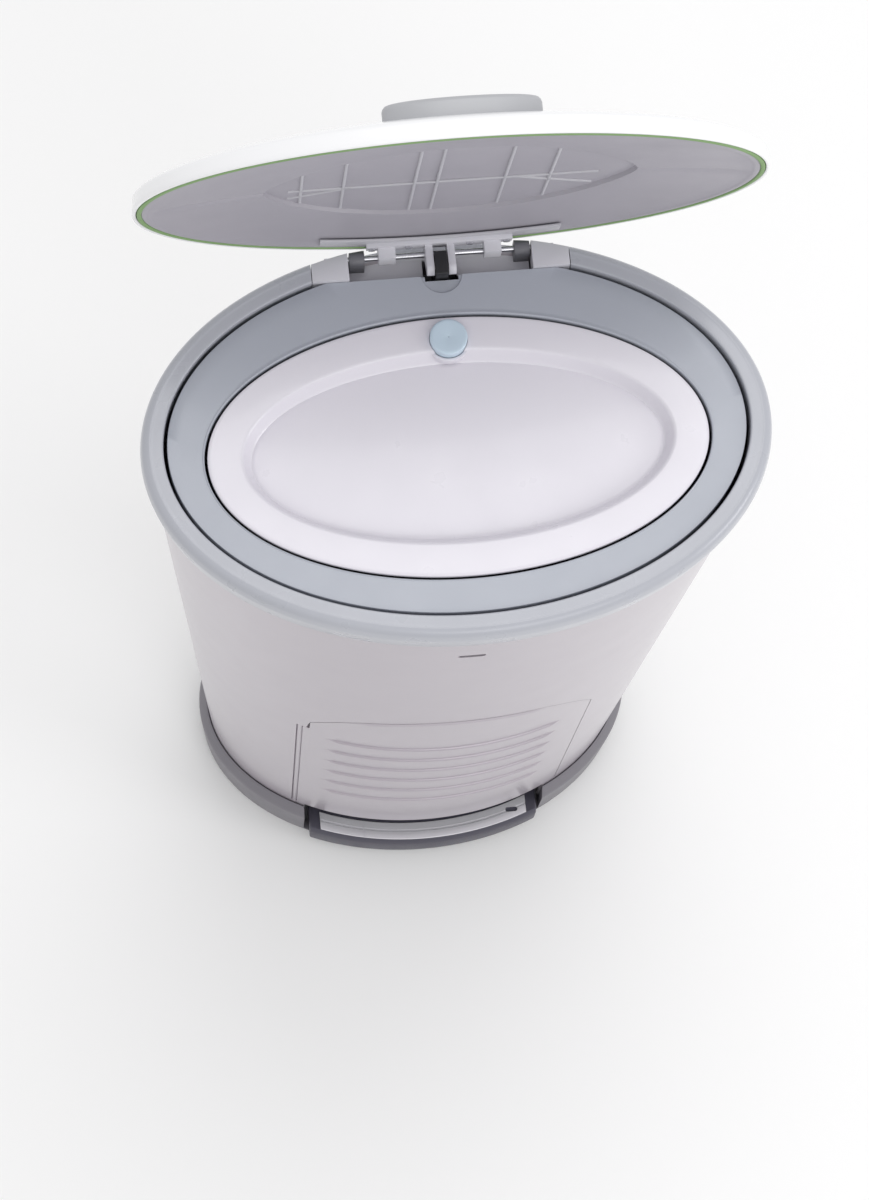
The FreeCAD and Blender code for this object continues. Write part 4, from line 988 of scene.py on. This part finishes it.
def lid_ribs():
    level = FLOOR_Z - 0.6
    lines = [((-100.0, 6.0), (92.0, 6.0))]
    for x in (-92.0, -66.0, -22.0, -8.0, 34.0, 62.0):
        lines.append(((x, -rib_ends(x, 0.94)), (x, rib_ends(x, 0.94))))
    lines.append(((-100.0, rib_ends(-100.0, 0.8)), (-62.0, 6.0)))
    lines.append(((40.0, 6.0), (90.0, rib_ends(90.0, 0.8))))
    points = [(x, y, level) for line in lines for x, y in line]
    mesh = bpy.data.meshes.new("lid_rib_bars")
    edges = [(2 * i, 2 * i + 1) for i in range(len(lines))]
    mesh.from_pydata([(x * MM, y * MM, z * MM) for x, y, z in points], edges, [])
    obj = new_object("lid_rib_bars", mesh)
    step = obj.modifiers.new("bars", "NODES")
    step.node_group = bars_tree()
    set_inputs(step, Width=1.8 * MM, Depth=1.8 * MM, Material=RIB_TONE)
    settle(obj)
    return swing(obj)


dress(lid_ribs(), "lid", "liner_grey", material=RIB_TONE)

# %% Handle
def lid_handle():
    half_x = reach("lid_handle")[1].x
    middle = -103.0
    base = SEAL_Z + SKIRT + 4.0
    top = SEAL_Z + SKIRT + 20.0
    steps = [
        (0.0, base), (0.0, top - 4.0), (0.6, top - 2.2), (1.8, top - 0.8), (3.8, top - 0.1), (7.0, top),
        (11.0, top - 0.3),
    ]
    rings = [oval_ring(half_x - d, 15.0 - d, z, middle) for d, z in steps]
    return swing(from_rings("grip", rings, caps=(True, True)))


dress(lid_handle(), "lid", "handle_grey", "lid_handle")

# %% [markdown]
# ## The pedal
# The pedal is a curved bar that follows the base ring, with a bright metal tread let into its top.
# Both are one section swept along the arc; the tread has a long groove, a cross line and a slot.

# %% Pedal bar and tread
PAD_LOW, PAD_HIGH = reach("pedal_pad")
PEDAL_OVAL_X = FOOT_X + 0.75 + 14.0
PEDAL_OVAL_Y = FOOT_Y + 0.5 + 14.0


def arc_sweep(name, profile, half_width, sections=96):
    """Section of (inset, height) points swept along the front of the base ring's oval."""
    rings = []
    for x in spaced(-half_width, half_width, sections):
        ring = []
        for d, z in profile:
            half_x, half_y = PEDAL_OVAL_X - d, PEDAL_OVAL_Y - d
            ring.append((x, FOOT_SHIFT - half_y * math.sqrt(1 - (x / half_x) ** 2), z))
        rings.append(ring)
    return from_rings(name, rings, caps=(True, True))


def pedal_bar():
    low, top = PAD_LOW.z, PAD_HIGH.z
    section = [(0.6, low), (0.0, low + 4), (0.0, top - 5), (1.5, top - 1.2), (3.0, top), (20.0, top), (20.0, low)]
    return soften(arc_sweep("pedal_bar", section, PAD_HIGH.x - 0.2), 1.2, 3, 40.0)


def pedal_tread():
    low, high = reach("pedal_plate")
    base, top = low.z - 0.1, high.z
    groove = top - 0.7
    section = [
        (3.2, base), (3.2, top - 0.3), (3.6, top), (9.4, top), (9.8, groove), (11.0, groove), (11.4, top),
        (16.6, top), (17.0, top - 0.3), (17.0, base),
    ]
    tread = arc_sweep("pedal_tread", section, high.x)
    x = high.x - 12.0
    cross = block(-50.6, -49.2, -200.0, -50.0, top - 0.8, top + 5)
    skin = skin_y(x, 20.0)
    slot = soften(block(x - 5.0, x + 5.0, skin - 6.0, skin - 2.0, top - 4.0, top + 4.0), 1.9, 4)
    return carve(tread, cross, slot)


dress(pedal_bar(), "pedal", "pedal_grey", "pedal_pad")
dress(pedal_tread(), "pedal", "plate_chrome", "pedal_plate")

# %% [markdown]
# ## Small mouldings and metal parts
# The brackets, blocks and pins are right in shape as they are. A copy of each is welded, its flat
# faces are joined and its sharp edges are rounded a little, which is what makes plastic look moulded.

# %% Soft-edged copies of the small pieces
SOFT_PIECES = {
    "hinge_tray": 0.3, "hinge_ears": 0.5, "hinge_block_left": 0.8, "hinge_block_right": 0.8,
    "hinge_leaf": 0.5,
    "push_rod": 0.5, "rod_arm": 0.4, "rod_duct": 0.3, "rod_guide": 0.5, "pedal_lever": 0.8, "door_catch": 0.6,
    "door_strike": 0.5, "bag_cutter": 0.8, "inner_floor": 0.4, "cassette_shelf": 0.4, "bag_cassette": 0.5,
    "floor_pan": 0.5, "base_pad": 0.5, "slot_insert": 0.3,
}
BODY_OF = {node: obj["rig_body"] for node, obj in frame["nodes"].items()}
SLOT_OF = {row["node"]: row["material_slot"] for row in frame["record"]["subparts"]}


def soft_copy(node, width):
    """Copy of a node with welded points, joined flats and rounded edges."""
    mesh = frame["nodes"][node].data.copy()
    work = bmesh.new()
    work.from_mesh(mesh)
    bmesh.ops.remove_doubles(work, verts=work.verts, dist=0.004 * MM)
    bmesh.ops.dissolve_limit(work, angle_limit=math.radians(0.6), verts=work.verts, edges=work.edges)
    work.to_mesh(mesh)
    work.free()
    obj = new_object(node + "_soft", mesh)
    return soften(obj, width, 2, 40.0)


for node, width in SOFT_PIECES.items():
    dress(soft_copy(node, width), BODY_OF[node], SLOT_OF[node], node)

# %% Finishes on the pieces kept as they are
for node, obj in frame["nodes"].items():
    if not obj.hide_render:
        obj.data.materials.clear()
        obj.data.materials.append(FINISHES[SLOT_OF[node]])
        print("kept", node, SLOT_OF[node])

# %% [markdown]
# ## Studio
# A pale floor, a bright surround and three soft lights, from above and behind, the front and the
# right, keep the shadows faint, as in a catalogue picture. The camera looks steeply down at the open bin.

# %% Floor and light
def floor():
    mesh = bpy.data.meshes.new("studio_floor")
    size = 12.0
    corners = [(-size, -size, 0), (size, -size, 0), (size, size, 0), (-size, size, 0)]
    mesh.from_pydata(corners, [], [(0, 1, 2, 3)])
    obj = new_object("studio_floor", mesh)
    material = bpy.data.materials.new("floor_paint")
    material.use_nodes = True
    shader = material.node_tree.nodes["Principled BSDF"]
    shader.inputs["Base Color"].default_value = (0.93, 0.93, 0.93, 1.0)
    shader.inputs["Roughness"].default_value = 0.9
    obj.data.materials.append(material)


def area_light(name, place, target, size, power):
    data = bpy.data.lights.new(name, "AREA")
    data.energy = power
    data.shape = "DISK"
    data.size = size
    obj = new_object(name, data)
    obj.location = place
    obj.rotation_euler = (Vector(target) - Vector(place)).to_track_quat("-Z", "Y").to_euler()


floor()
world = bpy.data.worlds.new("studio")
world.use_nodes = True
world.node_tree.nodes["Background"].inputs["Color"].default_value = (1.0, 1.0, 1.0, 1.0)
world.node_tree.nodes["Background"].inputs["Strength"].default_value = 0.76
bpy.context.scene.world = world
bpy.context.scene.view_settings.view_transform = "Standard"
area_light("top_soft_box", (0.3, 1.1, 2.9), (0, 0, 0.6), 1.8, 19.0)
area_light("front_soft_box", (0.6, -2.3, 2.4), (0, 0, 0.5), 1.8, 12.0)
area_light("right_soft_box", (2.4, -1.0, 1.6), (0, 0, 0.4), 1.2, 15.0)

# %% Camera
CAMERA_SPOT = Vector((-181.5, -658.6, 2537.4)) * MM
CAMERA_TURN = math.radians(13.66)
CAMERA_DIP = math.radians(71.06)
CAMERA_ROLL = -0.1494
camera_data = bpy.data.cameras.new("camera")
camera_data.sensor_fit = "VERTICAL"
camera_data.sensor_height = 36.0
camera_data.lens = 93.05
camera_data.shift_x = 0.0153
camera_data.shift_y = -0.0877
camera = new_object("camera", camera_data)
ahead = math.cos(CAMERA_DIP)
forward = Vector((math.sin(CAMERA_TURN) * ahead, math.cos(CAMERA_TURN) * ahead, -math.sin(CAMERA_DIP)))
level = forward.cross(Vector((0, 0, 1))).normalized()
down = forward.cross(level)
right = level * math.cos(CAMERA_ROLL) + down * math.sin(CAMERA_ROLL)
low_side = down * math.cos(CAMERA_ROLL) - level * math.sin(CAMERA_ROLL)
axes = Matrix((right, -low_side, -forward)).transposed().to_4x4()
camera.matrix_world = Matrix.Translation(CAMERA_SPOT) @ axes
bpy.context.scene.camera = camera
